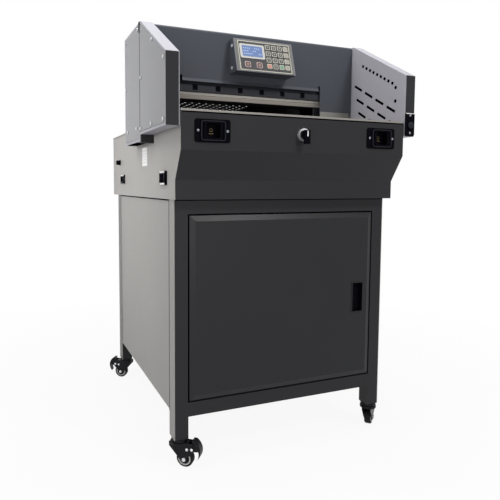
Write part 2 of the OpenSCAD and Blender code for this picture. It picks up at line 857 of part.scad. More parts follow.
// Points of a bend in the (y, z) plane, from one angle to another
function bend(r, from, to) = [for (i = [0:bend_steps]) let (a = from + (to - from) * i / bend_steps)
    [head_y + head_bend + r * cos(a), overall_h - head_bend + r * sin(a)]];

module head_cover() color(charcoal) {
    difference() {
        along_x(concat(
            [[head_y, column_cover_z]], bend(head_bend, 180, 90),
            [[head_back, overall_h], [head_back, head_rear_z], [head_back - sheet, head_rear_z],
             [head_back - sheet, overall_h - sheet]],
            bend(head_bend - sheet, 90, 180), [[head_y + sheet, column_cover_z]]),
            [head_gap - wing_x, wing_x - head_gap]);
        slab([throat_left, throat_right], [head_y - 1, head_y + sheet + 1], [column_cover_z - 1, throat_top]);
        for (x = [throat_left, throat_right - relief_w])
            slab([x, x + relief_w], [head_y - 1, head_y + sheet + 1],
                [throat_top - 1, throat_top + relief_h]);
    }
    slab([throat_left + relief_w, throat_right - relief_w], [head_y, head_y + lip_d],
        [throat_top, throat_top + sheet]);
    at_guard() guard_ear();
}

module at_bolts() for (i = [0:bolt_n - 1]) translate([bolt_x0 + i * bolt_pitch, 0, 0]) children();

module blade_carrier() color(charcoal) difference() {
    height = [carrier_z, carrier_z + carrier_h];
    union() {
        slab([carrier_left, carrier_right], [carrier_front, carrier_back], [carrier_z, carrier_z + bar_h]);
        slab([carrier_left, carrier_right], [carrier_front + notch_d, carrier_back], height);
        slab([carrier_left, blade_left - pad_gap], [carrier_back, column_y - air], height);
        slab([blade_right + pad_gap, carrier_right], [carrier_back, column_y - air], height);
    }
    at_bolts() {
        slab([-notch_w / 2, notch_w / 2], [carrier_front - 1, carrier_front + notch_d],
            [carrier_z + bar_h - notch_h, carrier_z + bar_h + 1]);
        rod_along_y(0, bolt_z, [carrier_front, carrier_back + 1], bolt_d);
    }
}

module blade() color(bright_steel) difference() {
    along_x([
        [carrier_back, blade_edge + blade_bevel], [carrier_back, blade_edge + blade_h],
        [blade_back, blade_edge + blade_h], [blade_back, blade_edge],
    ], [blade_left, blade_right]);
    at_bolts() rod_along_y(0, bolt_z, [carrier_back - 1, blade_back + 1], bolt_d);
}

module blade_bolts() color(motor_grey) at_bolts() {
    rod_along_y(0, bolt_z, [carrier_front + notch_d, blade_back], bolt_d);
    translate([0, carrier_front + notch_d - bolt_head_h, bolt_z]) rotate([-90, 0, 0])
        cylinder(h = bolt_head_h, d = bolt_head_d, $fn = 6);
}

module clamp_beam() color(cast_iron) {
    height = [clamp_z, clamp_z + clamp_h];
    slab([throat_left + air, throat_right - air], [clamp_y, clamp_y + clamp_d], height);
    slab([throat_left - groove_d + air, throat_right + groove_d - air],
        [groove_y + air, groove_y + groove_w - air], height);
}

// Blade drive

module drive_motor() color(motor_grey) difference() {
    union() {
        slab([crank_x - gearbox_w / 2, crank_x + gearbox_w / 2], [gearbox_y, gearbox_y + gearbox_d],
            [base_bottom + chassis_t, gearbox_top]);
        rod_along_y(crank_x, crank_z, [crank_y + crank_t + air, gearbox_y + 1], crank_shaft_d + gearbox_web);
        rod_along_x(gearbox_y + gearbox_d / 2, base_bottom + chassis_t + motor_d / 2 + motor_lift,
            [crank_x - gearbox_w / 2 - motor_l, crank_x], motor_d);
        slab([crank_x - gearbox_w / 2 - motor_l + motor_foot_in, crank_x],
            [gearbox_y + gearbox_web, gearbox_y + gearbox_d - gearbox_web],
            [base_bottom + chassis_t, base_bottom + chassis_t + motor_foot_h]);
    }
    rod_along_y(crank_x, crank_z, [crank_y, gearbox_y + gearbox_d - gearbox_web],
        crank_shaft_d + 2 * run_gap);
}

module crank() color(bright_steel) {
    rod_along_y(crank_x, crank_z, [crank_y, crank_y + crank_t], 2 * crank_disc_r);
    rod_along_y(rod_x, eye_z, [rod_y + rod_t + rod_gap, crank_y + 1], crank_shaft_d - 5);
    rod_along_y(crank_x, crank_z, [crank_y, gearbox_y + gearbox_d - gearbox_web - 1], crank_shaft_d);
}

module pull_rod() color(bright_steel) difference() {
    union() {
        slab([rod_x - rod_w / 2, rod_x + rod_w / 2], [rod_y, rod_y + rod_t], [eye_z, carrier_z]);
        rod_along_y(rod_x, eye_z, [rod_y, rod_y + rod_t], rod_w + 14);
    }
    rod_along_y(rod_x, eye_z, [rod_y - 1, rod_y + rod_t + 1], crank_shaft_d - 4);
}

// Wings

// Outline of a wing set in by d, from the front lower corner round to the rear
function wing_outline(d) = [
    [front_y + sheet + max(0, d - sheet), wing_bottom + d],
    [front_y + sheet + max(0, d - sheet),
     wing_front_top + (sheet + max(0, d - sheet)) * tan(wing_slope) - d / cos(wing_slope)],
    [front_y + wing_slope_d + (d / cos(wing_slope) - d) / tan(wing_slope), overall_h - d],
    [wing_back - d, overall_h - d], [wing_back - d, wing_rear_bottom + d],
    [front_y + wing_seam + d, wing_rear_bottom + d], [front_y + wing_seam + d, wing_bottom + d],
];

// A row of cuts that runs parallel to the slanted edge, from a point below the apex
module along_slope(back, drop) translate([0, front_y + wing_slope_d - back, overall_h - drop])
    rotate([wing_slope, 0, 0]) children();

module wing_holes() {
    cut = [wing_x - 1, wing_x + sheet + 1];
    along_slope(window_back, window_drop) for (i = [0:window_n - 1])
        slab(cut, [-i * window_step - window_l / 2, -i * window_step + window_l / 2],
            [-window_w / 2, window_w / 2]);
    for (row = [0:len(vent_rows) - 1])
        along_slope(vent_back + row * vent_row_back, vent_drop + row * vent_row_drop)
            for (i = [0:vent_rows[row] - 1])
                slab(cut, [-i * vent_step - vent_l, -i * vent_step], [-vent_w / 2, vent_w / 2]);
    for (drop = [28, 68]) rod_along_x(front_y + 42, wing_front_top - drop, cut, window_w - 1);
}

module wing() {
    difference() {
        along_x(wing_outline(0), [wing_x, cover_x]);
        along_x(wing_outline(wing_rim + wing_ledge), [wing_x + sheet, cover_x + 1]);
        along_x(wing_outline(wing_rim), [cover_x - sheet, cover_x + 1]);
        slab([wing_x + 2 * sheet, cover_x - 2 * sheet],
            [front_y + wing_seam + mouth_in, wing_back - mouth_end],
            [wing_rear_bottom - 1, wing_rear_bottom + wing_rim + wing_ledge + 1]);
        wing_holes();
    }
    slab([wing_x, wing_x + sheet], [front_y, front_y + 2 * sheet], [wing_bottom, wing_front_top]);
}

module wing_left() color(light_grey) mirror([1, 0, 0]) wing();

module wing_right() color(light_grey) wing();

module wing_front() {
    slab([wing_x + sheet, cover_x], [front_y, front_y + sheet], [wing_bottom, wing_front_top]);
    slab([base_x, cover_x], [front_y + wing_seam - bracket_d, front_y + wing_seam],
        [wing_bottom - bracket_h, wing_bottom]);
}

module wing_fronts() color(charcoal) both_sides() wing_front();

module wing_cover() intersection() {
    along_x(wing_outline(wing_rim + cover_gap), [cover_x - sheet, cover_x]);
    union() {
        slab([0, cover_x + 1], [front_y, front_y + wing_seam - seam_gap / 2], [base_bottom, overall_h]);
        slab([0, cover_x + 1], [front_y + wing_seam + seam_gap / 2, rear_y], [base_bottom, overall_h]);
    }
}

module wing_covers() color(light_grey) both_sides() wing_cover();

module wing_module() color(black_plastic) {
    z0 = wing_bottom + 2;
    x = wing_x + wing_t / 2;
    round_block(x, z0 + module_h / 2, wing_t - 1, module_h, 4, [front_y - module_out, front_y]);
    rod_along_y(x, z0 + module_h / 2 - 3, [front_y - module_out - 4, front_y - module_out], 22);
}

// Rear guard

// Arched section of the guard, set in by d
module guard_section(d) {
    r = guard_r - d;
    half = guard_w / 2 - d;
    top = guard_h - d;
    translate([-half, 0]) square([2 * half, top - r]);
    translate([r - half, 0]) square([2 * (half - r), top]);
    intersection() {
        for (x = [r - half, half - r]) translate([x, top - r]) circle(r = r);
        translate([-half, 0]) square([2 * half, top]);
    }
}

module guard_arch(d, y) translate([throat_mid, y[1], guard_low]) rotate([90, 0, 0])
    linear_extrude(y[1] - y[0]) guard_section(d);

module guard_lug() difference() {
    z = guard_low + guard_h - 1;
    union() {
        slab([ear_x, ear_x + ear_t], [guard_axis_y - 4, guard_front + guard_edge - 1], [z, guard_axis_z]);
        rod_along_x(guard_axis_y, guard_axis_z, [ear_x, ear_x + ear_t], guard_pin_d + 8);
    }
    rod_along_x(guard_axis_y, guard_axis_z, [ear_x - 1, ear_x + ear_t + 1], guard_pin_d + 2 * run_gap);
}

module rear_guard() color(charcoal) {
    half = guard_w / 2 - guard_r - screen_lap;
    difference() {
        guard_arch(0, [guard_front, guard_back]);
        guard_arch(sheet, [guard_front - 1, guard_back - sheet]);
        slab([throat_mid - half, throat_mid + half], [guard_front + guard_edge + screen_lap,
            guard_back - guard_edge - screen_lap], [table_z + guard_h - guard_r, table_z + guard_h + 2]);
    }
    at_guard() {
        guard_lug();
        slab([guard_w / 2 - guard_flange, guard_w / 2], [guard_front, guard_back],
            [guard_low, guard_low + sheet]);
    }
}

// A slot with round ends about its middle
module guard_slot() {
    half = (guard_slot_l - guard_slot_w) / 2;
    square([guard_slot_w, 2 * half], center = true);
    for (y = [-half, half]) translate([0, y]) circle(d = guard_slot_w, $fn = 24);
}

// A sheet with staggered slots, drawn in its own plane about its middle
module pierced(w, h) linear_extrude(screen_t) difference() {
    square([w, h], center = true);
    cols = floor((w - 2 * screen_lap) / guard_pitch - 0.5);
    rows = floor((h - 2 * screen_lap) / guard_row);
    for (row = [0:rows - 1], col = [0:cols - 1])
        translate([(col + (row % 2) / 2 - cols / 2 + 0.25) * guard_pitch, (row - (rows - 1) / 2) * guard_row])
            guard_slot();
}

module guard_screen() color(charcoal)
    translate([throat_mid, (guard_front + guard_back) / 2, guard_low + guard_h])
        pierced(guard_w - 2 * guard_r, guard_back - guard_front - 2 * guard_edge);

// Controls

function box_outline(d) = [
    [head_y, box_bottom + d], [head_y - box_bottom_d + d, box_bottom + d],
    [head_y - box_top_d + d, box_top - d], [head_y, box_top - d],
];

module control_box() color(charcoal) difference() {
    along_x(box_outline(0), [box_x - box_w / 2, box_x + box_w / 2]);
    along_x(box_outline(box_wall), [box_x - box_w / 2 + box_wall, box_x + box_w / 2 - box_wall]);
}

module control_overlay() color("#404040") {
    face_h = box_h / cos(box_tilt);
    translate([box_x, head_y - box_bottom_d, box_bottom]) rotate([-box_tilt, 0, 0])
        round_block(0, face_h / 2, box_w - 2 * overlay_in, face_h - 2 * overlay_in, 4, [-overlay_t, 0]);
}

module button_housing(x) difference() {
    body = button_w + 2 * housing_t;
    union() {
        round_block(x, hand_z, housing_w, housing_h, 6, [front_y - housing_t, front_y]);
        round_block(x, hand_z, collar_w, collar_w, 7, [front_y - collar_out, front_y]);
        slab([x - body / 2, x + body / 2], [front_y - 1, front_y + button_body],
            [hand_z - body / 2, hand_z + body / 2]);
    }
    round_block(x, hand_z, button_w + 2 * air, button_w + 2 * air, 3 + air,
        [front_y - collar_out - 1, front_y + button_body - housing_t]);
}

module button_housings() color(black_plastic) for (x = [-hand_x, hand_x]) button_housing(x);

module cut_button(x) color(black_rubber) difference() {
    y = front_y - collar_out + button_sink;
    round_block(x, hand_z, button_w, button_w, 3, [y, front_y + button_body - housing_t - button_travel - 1]);
    round_block(x, hand_z, button_w - 8, button_w - 8, 2, [y - 1, y + 1]);
}

module cut_button_left() cut_button(-hand_x);

module cut_button_right() cut_button(hand_x);

module selector_ring() color(chrome) difference() {
    union() {
        rod_along_y(selector_x, selector_z, [front_y - ring_out, front_y], ring_d);
        rod_along_y(selector_x, selector_z, [front_y - 1, front_y + button_body], selector_body);
    }
    rod_along_y(selector_x, selector_z, [front_y - ring_out - 1, front_y - 2], knob_d + 2 * air);
    rod_along_y(selector_x, selector_z, [front_y - 3, front_y + button_body + 1],
        selector_shaft + 2 * run_gap);
}

module selector_knob() color(black_plastic) {
    knob_front = front_y - knob_reach + knob_t;
    rod_along_y(selector_x, selector_z, [knob_front, front_y - 2 - air], knob_d);
    rod_along_y(selector_x, selector_z, [knob_front, front_y + button_body - 2], selector_shaft);
    slab([selector_x - knob_t, selector_x + knob_t], [front_y - knob_reach, knob_front],
        [selector_z - knob_d, selector_z + knob_d / 2 - 1]);
}

// A frame on the left side of the base with its body behind the panel
module side_socket(y, z, w, h, depth) {
    slab([-base_x - socket_flange, -base_x], [y - w / 2 - 4, y + w / 2 + 4], [z - h / 2, z + h / 2]);
    slab([-base_x - socket_out, -base_x], [y - w / 2, y + w / 2], [z - h / 2, z + h / 2]);
    slab([-base_x - 1, -base_x + depth], [y - w / 2 + socket_wall, y + w / 2 - socket_wall],
        [z - h / 2 + socket_wall, z + h / 2 - socket_wall]);
}

module power_inlet() color(black_plastic) {
    wall = socket_wall + 2;
    difference() {
        side_socket(inlet_y, inlet_z, inlet_w, inlet_h, 22);
        slab([-base_x - socket_out - 1, -base_x + 16],
            [inlet_y - inlet_w / 2 + wall, inlet_y + inlet_w / 2 - wall],
            [inlet_z - inlet_h / 2 + wall, inlet_z + inlet_h / 2 - wall]);
    }
    for (i = [-1:1]) slab([-base_x, -base_x + 17], [inlet_y + i * 9 - 1, inlet_y + i * 9 + 1],
        [inlet_z - 3 + (i == 0 ? 3 : 0), inlet_z + 3 + (i == 0 ? 3 : 0)]);
}

module switch_frame() color(black_plastic) difference() {
    bore = [rocker_w / 2 + air, rocker_h / 2 + 0.6];
    side_socket(switch_y, switch_z, switch_w, switch_h, 26);
    slab([-base_x - socket_out - 1, -base_x + 23], [switch_y - bore[0], switch_y + bore[0]],
        [switch_z - bore[1], switch_z + bore[1]]);
    rod_along_y(-base_x, switch_z, [switch_y - rocker_w / 2 - 3, switch_y + rocker_w / 2 + 3],
        rocker_pin + 2 * run_gap);
}

module main_rocker() color(black_plastic) translate([-base_x, 0, switch_z]) rotate([0, rocker_tilt, 0]) {
    half = rocker_h / 2 - 0.6;
    translate([0, switch_y + rocker_w / 2, 0]) rotate([90, 0, 0]) linear_extrude(rocker_w)
        polygon([[-socket_out - 1, -half + 1], [-socket_out + 1, 0], [-socket_out - 1, half - 1],
            [3, half - 1], [9, 4], [9, -4], [3, -half + 1]]);
    rod_along_y(0, 0, [switch_y - rocker_w / 2 - 2.5, switch_y + rocker_w / 2 + 2.5], rocker_pin);
}

module fuse_holder() color(black_plastic) {
    rod_along_x(fuse_y, fuse_z, [-base_x, -base_x + 30], fuse_d - 5);
    rod_along_x(fuse_y, fuse_z, [-base_x - 4, -base_x], fuse_d + 3);
    rod_along_x(fuse_y, fuse_z, [-base_x - fuse_out, -base_x], fuse_d);
}

caster_plates();
caster_fork(0);  // caster_fork_fl
caster_fork(1);  // caster_fork_fr
caster_fork(2);  // caster_fork_rl
caster_fork(3);  // caster_fork_rr
caster_wheel(0);  // caster_wheel_fl
caster_wheel(1);  // caster_wheel_fr
caster_wheel(2);  // caster_wheel_rl
caster_wheel(3);  // caster_wheel_rr
caster_brake(0);  // caster_brake_fl
caster_brake(1);  // caster_brake_fr
caster_brake(2);  // caster_brake_rl
caster_brake(3);  // caster_brake_rr
front_frame();
cabinet_side_left();
cabinet_side_right();
cabinet_back();
cabinet_floor();
door();
door_pull();
hinge_pins();
base_chassis();
base_front_panel();
base_side_left();
base_side_right();
base_back_panel();
table();
cutting_stick();
back_gauge();
lead_screw();
gauge_motor();
gantry();
throat_skirts();
head_cover();
blade_carrier();
blade();
blade_bolts();
clamp_beam();
drive_motor();
crank();
pull_rod();
wing_left();
wing_right();
wing_fronts();
wing_covers();
wing_module();
rear_guard();
guard_screen();
control_box();
control_overlay();
button_housings();
cut_button_left();
cut_button_right();
selector_ring();
selector_knob();
power_inlet();
switch_frame();
main_rocker();
fuse_holder();
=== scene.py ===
"""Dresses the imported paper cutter: finishes, fasteners, panel furniture, studio and camera."""

import json
import logging
import math
from dataclasses import dataclass
from enum import Enum
from typing import Any, Iterable, Optional, Sequence

import bmesh
import bpy
from mathutils import Matrix, Vector


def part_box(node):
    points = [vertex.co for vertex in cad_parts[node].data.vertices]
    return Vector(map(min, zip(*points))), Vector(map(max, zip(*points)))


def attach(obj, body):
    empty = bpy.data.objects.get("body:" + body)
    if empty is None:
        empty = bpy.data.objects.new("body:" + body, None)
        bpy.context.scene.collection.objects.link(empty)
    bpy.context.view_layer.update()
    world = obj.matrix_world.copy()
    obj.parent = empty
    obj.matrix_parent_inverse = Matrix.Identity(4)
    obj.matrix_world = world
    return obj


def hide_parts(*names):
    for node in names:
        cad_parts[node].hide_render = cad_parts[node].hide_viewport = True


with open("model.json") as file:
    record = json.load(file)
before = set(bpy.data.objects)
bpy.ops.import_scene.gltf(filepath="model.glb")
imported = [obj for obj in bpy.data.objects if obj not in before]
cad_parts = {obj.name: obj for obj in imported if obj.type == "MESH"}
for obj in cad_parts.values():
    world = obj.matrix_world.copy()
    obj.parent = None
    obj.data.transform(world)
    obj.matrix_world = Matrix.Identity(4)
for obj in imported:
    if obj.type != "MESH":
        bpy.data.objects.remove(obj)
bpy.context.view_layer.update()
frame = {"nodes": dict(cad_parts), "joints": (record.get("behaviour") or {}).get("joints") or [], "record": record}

Pair = tuple[float, float]
Pairs = tuple[Pair, ...]
Triple = tuple[float, float, float]
Colour = tuple[float, float, float, float]
Sizes = tuple[float, ...]

log = logging.getLogger("paper_cutter")
MM = 0.001
ROOT = "frame"
SIDES = (-1, 1)
HANDS = ("left", "right")
PLACES = ("fl", "fr", "rl", "rr")
WHITE = (1, 1, 1, 1)
# Points nearer than this, in metres, are one point.
MERGE = 1e-6
# The broken edge of thin trim, in metres.
HAIR = 0.0002
# A wave texture of scale 1 repeats after this many metres.
WAVE_PERIOD = 0.314
# A font's size over the height of its figures.
FONT_SHARE = 1.4
# Octaves of the slow noise that drifts a tone, and of the fine noise of a grain.
DRIFT_NOISE = {"Detail": 4.0, "Roughness": 0.6}
GRAIN_NOISE = {"Detail": 2.0, "Roughness": 0.55}
# Nearly all values of a noise lie in this span.
NOISE_SPAN = {"From Min": 0.3, "From Max": 0.7}
# How much of its relief a grain shows.
RELIEF_SHARE = 0.5


def linear(code: str) -> Colour:
    """Turns an sRGB hex colour into linear RGBA.

    Args:
        code: the colour as "#rrggbb".

    Returns:
        The four linear channels, alpha 1.
    """
    parts = [int(code[i:i + 2], 16) / 255 for i in (1, 3, 5)]
    red, green, blue = (p / 12.92 if p <= 0.04045 else ((p + 0.055) / 1.055) ** 2.4 for p in parts)
    return red, green, blue, 1.0


def shade(colour: Sequence[float], factor: float) -> Colour:
    """Returns a linear colour with its three channels multiplied by a factor, alpha 1."""
    red, green, blue = (min(1.0, c * factor) for c in colour[:3])
    return red, green, blue, 1.0


def move(x: float, y: float, z: float) -> Matrix:
    """Returns the matrix of a shift."""
    return Matrix.Translation((x, y, z))


def turn(degrees: float, axis: str) -> Matrix:
    """Returns the matrix of a turn about an axis."""
    return Matrix.Rotation(math.radians(degrees), 4, axis)


def facing(at: Sequence[float], normal: Sequence[float]) -> Matrix:
    """Returns the matrix that stands a form on a surface, its +Z along the surface's outward normal."""
    return Matrix.Translation(Vector(at)) @ Vector(normal).to_track_quat("Z", "Y").to_matrix().to_4x4()


def add_node(tree: bpy.types.NodeTree, kind: str, links: Optional[dict] = None, values: Optional[dict] = None,
             **settings: Any) -> bpy.types.Node:
    """Adds a shader node with its settings, constants and links.

    Args:
        tree: the node tree that gets the node.
        kind: the node's type name.
        links: input name or number to the socket that feeds it.
        values: input name or number to its constant.
        settings: properties of the node itself.

    Returns:
        The new node.
    """
    node = tree.nodes.new(kind)
    for key, value in settings.items():
        setattr(node, key, value)
    for key, value in (values or {}).items():
        node.inputs[key].default_value = value
    for key, socket in (links or {}).items():
        tree.links.new(socket, node.inputs[key])
    return node


def add_object(name: str, data: bpy.types.ID) -> bpy.types.Object:
    """Puts an object into the scene.

    Args:
        name: the object's name.
        data: its mesh, lamp or camera.

    Returns:
        The new object.
    """
    made = bpy.data.objects.new(name, data)
    bpy.context.scene.collection.objects.link(made)
    return made


@dataclass(frozen=True)
class Grain:
    """The relief of a surface: its size and height in millimetres, its effect on gloss, and its stretch."""

    size_mm: float
    height_mm: float
    gloss_change: float = 0.06
    stretch: Triple = (1.0, 1.0, 1.0)


@dataclass(frozen=True)
class Finish:
    """A real surface: its colour, how it takes light, its relief, and the drift of its tone."""

    name: str
    colour: str
    roughness: float
    grain: Grain
    tone: float
    tone_mm: float = 240.0
    metallic: float = 0.0
    specular: float = 0.5

    def material(self) -> bpy.types.Material:
        """Makes the finish's material once and hands out the same one after that.

        Returns:
            The material.
        """
        made = bpy.data.materials.get(self.name)
        if made is None:
            made = bpy.data.materials.new(self.name)
            made.use_nodes = True
            self.lay_out(made.node_tree, made.node_tree.nodes["Principled BSDF"])
        return made

    def lay_out(self, tree: bpy.types.NodeTree, shader: bpy.types.Node) -> None:
        """Feeds the shader: slow drift of tone, and a grain that moves roughness and relief.

        Args:
            tree: the material's node tree.
            shader: its Principled shader.
        """
        grain = self.grain
        at = add_node(tree, "ShaderNodeTexCoord").outputs["Object"]
        spread = add_node(tree, "ShaderNodeMapping", {"Vector": at}, {"Scale": grain.stretch})
        drift = add_node(tree, "ShaderNodeTexNoise", {"Vector": at},
                         {"Scale": 1 / (self.tone_mm * MM), **DRIFT_NOISE})
        bumps = add_node(tree, "ShaderNodeTexNoise", {"Vector": spread.outputs["Vector"]},
                         {"Scale": 1 / (grain.size_mm * MM), **GRAIN_NOISE})
        base = linear(self.colour)
        tint = add_node(tree, "ShaderNodeMix", {0: drift.outputs["Fac"]},
                        {6: shade(base, 1 - self.tone), 7: shade(base, 1 + self.tone)}, data_type="RGBA")
        polish = add_node(tree, "ShaderNodeMapRange", {"Value": bumps.outputs["Fac"]},
                          {**NOISE_SPAN, "To Min": self.roughness - grain.gloss_change,
                           "To Max": self.roughness + grain.gloss_change})
        relief = add_node(tree, "ShaderNodeBump", {"Height": bumps.outputs["Fac"]},
                          {"Strength": RELIEF_SHARE, "Distance": grain.height_mm * MM})
        tree.links.new(tint.outputs[2], shader.inputs["Base Color"])
        tree.links.new(polish.outputs["Result"], shader.inputs["Roughness"])
        tree.links.new(relief.outputs["Normal"], shader.inputs["Normal"])
        shader.inputs["Metallic"].default_value = self.metallic
        shader.inputs["Specular IOR Level"].default_value = self.specular


@dataclass(frozen=True)
class Backlit(Finish):
    """A liquid crystal display behind clear film: a faint dot raster over a lit ground."""

    glow: float = 0.16
    dot_mm: float = 1.4
    raster: Pair = (0.86, 1.1)

    def lay_out(self, tree: bpy.types.NodeTree, shader: bpy.types.Node) -> None:
        """Adds the raster of dots and the glow to the usual drift and grain.

        Args:
            tree: the material's node tree.
            shader: its Principled shader.
        """
        super().lay_out(tree, shader)
        place = add_node(tree, "ShaderNodeTexCoord")
        rows = add_node(tree, "ShaderNodeTexWave", {"Vector": place.outputs["Object"]},
                        {"Scale": WAVE_PERIOD / (self.dot_mm * MM)}, bands_direction="Z")
        dark, light = (shade(linear(self.colour), factor) for factor in self.raster)
        lit = add_node(tree, "ShaderNodeMix", {0: rows.outputs["Fac"]}, {6: dark, 7: light}, data_type="RGBA")
        tree.links.new(lit.outputs[2], shader.inputs["Emission Color"])
        shader.inputs["Emission Strength"].default_value = self.glow


# Reliefs that finishes share. All are finer in life, and are drawn coarse enough to show.
PEEL = Grain(2.4, 0.04)
FINE_PEEL = Grain(2.4, 0.03)
SATIN_MOULD = Grain(1.3, 0.01)
SOFT_SKIN = Grain(1.0, 0.02)
FILM_SKIN = Grain(1.0, 0.01)
FINE_SKIN = Grain(0.8, 0.01)
INK_SKIN = Grain(0.8, 0.005)

# Polyester powder coat, sprayed and baked: near black, low in gloss, with a slight orange peel.
CHARCOAL = Finish("charcoal_powder_coat", "#2c2c2e", 0.34, PEEL, 0.06, specular=0.13)
# The same coat on the head and the control box, painted lighter and bluer than the charcoal: a slate tone with
# painted light in it, for the sheen the head takes from above. Duller in its gloss.
HEAD_LIT_COAT = Finish("slate_coat_painted_light", "#474a51", 0.5, PEEL, 0.06, specular=0.12)
# Pale powder coat of the cabinet's sides: warm grey, with the tone drifting slowly down the sheet.
LIGHT_GREY = Finish("light_grey_powder_coat", "#9c9a97", 0.46, PEEL, 0.06, 300.0, specular=0.15)
# Pale powder coat of the wing covers: a neutral, even grey, painted a little darker than the cabinet's sides as
# painted shade, to offset the stronger light on the wings.
WING_SHADED_GREY = Finish("wing_grey_coat_painted_shade", "#939395", 0.46, PEEL, 0.04, 300.0, specular=0.15)
# Pale powder coat inside the wings, painted lighter than the covers and a little violet: painted light, for the
# bluish light on the inner faces. Its sheen makes it brighter at a slant.
LINER_LIT_GREY = Finish("wing_liner_coat_painted_light", "#a09fa6", 0.46, PEEL, 0.05, 300.0, specular=0.2)
# Pale powder coat of the base, painted the lightest of the greys: painted light, for the strong light on the
# base's sides.
BASE_LIT_GREY = Finish("base_grey_coat_painted_light", "#a4a19e", 0.46, PEEL, 0.05, 200.0, specular=0.15)
# Darker grey on the rear corner strips: painted shade of the rear legs, a line down the cabinet's rear edge.
STRIP_SHADE_GREY = Finish("strip_grey_painted_shade", "#767675", 0.5, PEEL, 0.04, specular=0.25)
# Brushed enamel on the blade carrier: dark, with broad patches of tone.
CARRIER_COAT = Finish("carrier_enamel", "#33343a", 0.5, PEEL, 0.08, 60.0, specular=0.12)
# Slate coat on the rolled hem of the head, a little lighter and glossier than the head's: a painted highlight, the
# thin light line along the hem.
LIP_HIGHLIGHT_COAT = Finish("slate_lip_painted_highlight", "#4a4c53", 0.4, FINE_PEEL, 0.05, 60.0, specular=0.15)
# Grey enamel on the control box's flange: a pale rim round the dark panel.
FLANGE_COAT = Finish("panel_flange_enamel", "#6c6d72", 0.45, FINE_PEEL, 0.05, 60.0, specular=0.2)
# Brushed machine enamel on chassis and motor: blue grey, heavier in its peel.
MACHINE_GREY = Finish("machine_enamel", "#6d7174", 0.42, Grain(2.4, 0.06), 0.08, 90.0, specular=0.45)
# Surface-ground tool steel: fine scratches across the feed, warm grey, half bright.
GROUND_STEEL = Finish("surface_ground_steel", "#85827d", 0.45, Grain(1.6, 0.02, 0.1, (0.06, 1.0, 1.0)), 0.06,
                      90.0, metallic=0.55)
# Hardened blade steel: pale, with upright grinding lines.
BLADE_STEEL = Finish("blade_steel", "#e0dcd4", 0.5, Grain(1.4, 0.02, 0.1, (1.0, 1.0, 0.08)), 0.1, 60.0,
                     metallic=0.2)
# Stain that honing leaves along the blade: a brown line in the grey.
HONE_STAIN = Finish("hone_stained_steel", "#7d766a", 0.5, Grain(1.2, 0.01, stretch=(0.1, 1.0, 1.0)), 0.12,
                    30.0, metallic=0.4)
# Grey iron casting under dark enamel: sand-cast skin shows through the paint.
CASTING = Finish("enamelled_cast_iron", "#2c2d30", 0.55, Grain(4.0, 0.25, 0.08), 0.12, 120.0, specular=0.4)
# The clamp's iron casting with the same sand-cast skin, painted near black: painted shade, for the dark it sits in
# under the blade.
CAST_SHADED = Finish("cast_iron_painted_shade", "#0c0c0f", 0.6, Grain(4.0, 0.2, 0.08), 0.12, 120.0, specular=0.08)
# Moulded ABS with a spark-eroded skin: deep black that mirrors nothing. It also paints the shade in the notches of
# the blade carrier.
ABS_BLACK_AND_SHADE = Finish("black_moulded_abs_and_painted_shade", "#0b0b11", 0.3, Grain(1.3, 0.02), 0.08, 60.0, specular=0.01)
# White moulded ABS: a plain, soft white.
ABS_WHITE = Finish("white_moulded_abs", "#b4b3af", 0.35, SATIN_MOULD, 0.02, 60.0)
# Satin black ABS: charcoal against the deep black beside it.
ABS_SATIN = Finish("satin_black_abs", "#212228", 0.45, SATIN_MOULD, 0.06, 30.0, specular=0.08)
# Matt moulded PBT of the rocker: black even at a grazing view.
PBT_MATT = Finish("matt_black_pbt", "#0f0f16", 0.6, FILM_SKIN, 0.06, 20.0, specular=0.0)
# Thermoplastic rubber tyre: dull, a little dusty.
TYRE = Finish("caster_tyre_rubber", "#141415", 0.72, Grain(1.0, 0.05), 0.16, 14.0, specular=0.2)
# Extruded rubber of clips and seams: dull black with a faint sheen. In the wing seams it is drawn wide, as painted
# shade of the flanges beside the joint.
RUBBER_TRIM = Finish("edge_rubber", "#161617", 0.6, Grain(1.0, 0.03), 0.08, 30.0, specular=0.35)
# Dead black for painted shade: the lines under the base and round the door's gap, the strip under the table's
# edge, the sheets under the wings and the fills in their openings. It takes no light, so a gap reads as a dark
# line.
SHADE_BLACK = Finish("painted_shade_black", "#040405", 0.8, SOFT_SKIN, 0.1, 20.0, specular=0.0)
# Moulded nylon hub ring: pale grey and waxy.
HUB_GREY = Finish("grey_nylon_hub", "#b9b9b7", 0.5, SOFT_SKIN, 0.05, 10.0)
# Extruded polypropylene cutting stick: waxy red.
STICK_RED = Finish("red_polypropylene", "#93332c", 0.48, Grain(1.5, 0.04), 0.08, 40.0)
# Pressed steel under black stoving enamel: black with a soft gloss on its bends.
BLACK_ENAMEL = Finish("black_stove_enamel", "#111114", 0.36, Grain(2.0, 0.02), 0.08, 40.0, specular=0.16)
# Chrome plate on the selector's ring: bright, almost without grain.
CHROME = Finish("chrome_plate", "#d6d6da", 0.3, Grain(2.0, 0.003, 0.03), 0.02, 20.0, metallic=0.7)
# Blackened steel of the blade bolts: dull, oily black. It also paints the rings under the wing screws, as the
# heads' painted shadows.
BLACK_OXIDE_AND_SHADOW = Finish("black_oxide_steel_and_painted_shadow", "#101012", 0.55, FINE_SKIN, 0.1, 6.0, specular=0.3)
# Bright zinc plating: slightly clouded.
ZINC = Finish("bright_zinc_plate", "#8f9097", 0.5, Grain(0.8, 0.01, 0.08), 0.06, 4.0, metallic=0.6)
# Nickel plating on the case screws: pale, and bright from every side.
NICKEL = Finish("nickel_plate", "#dcdde0", 0.38, FINE_SKIN, 0.05, 4.0, metallic=0.4)
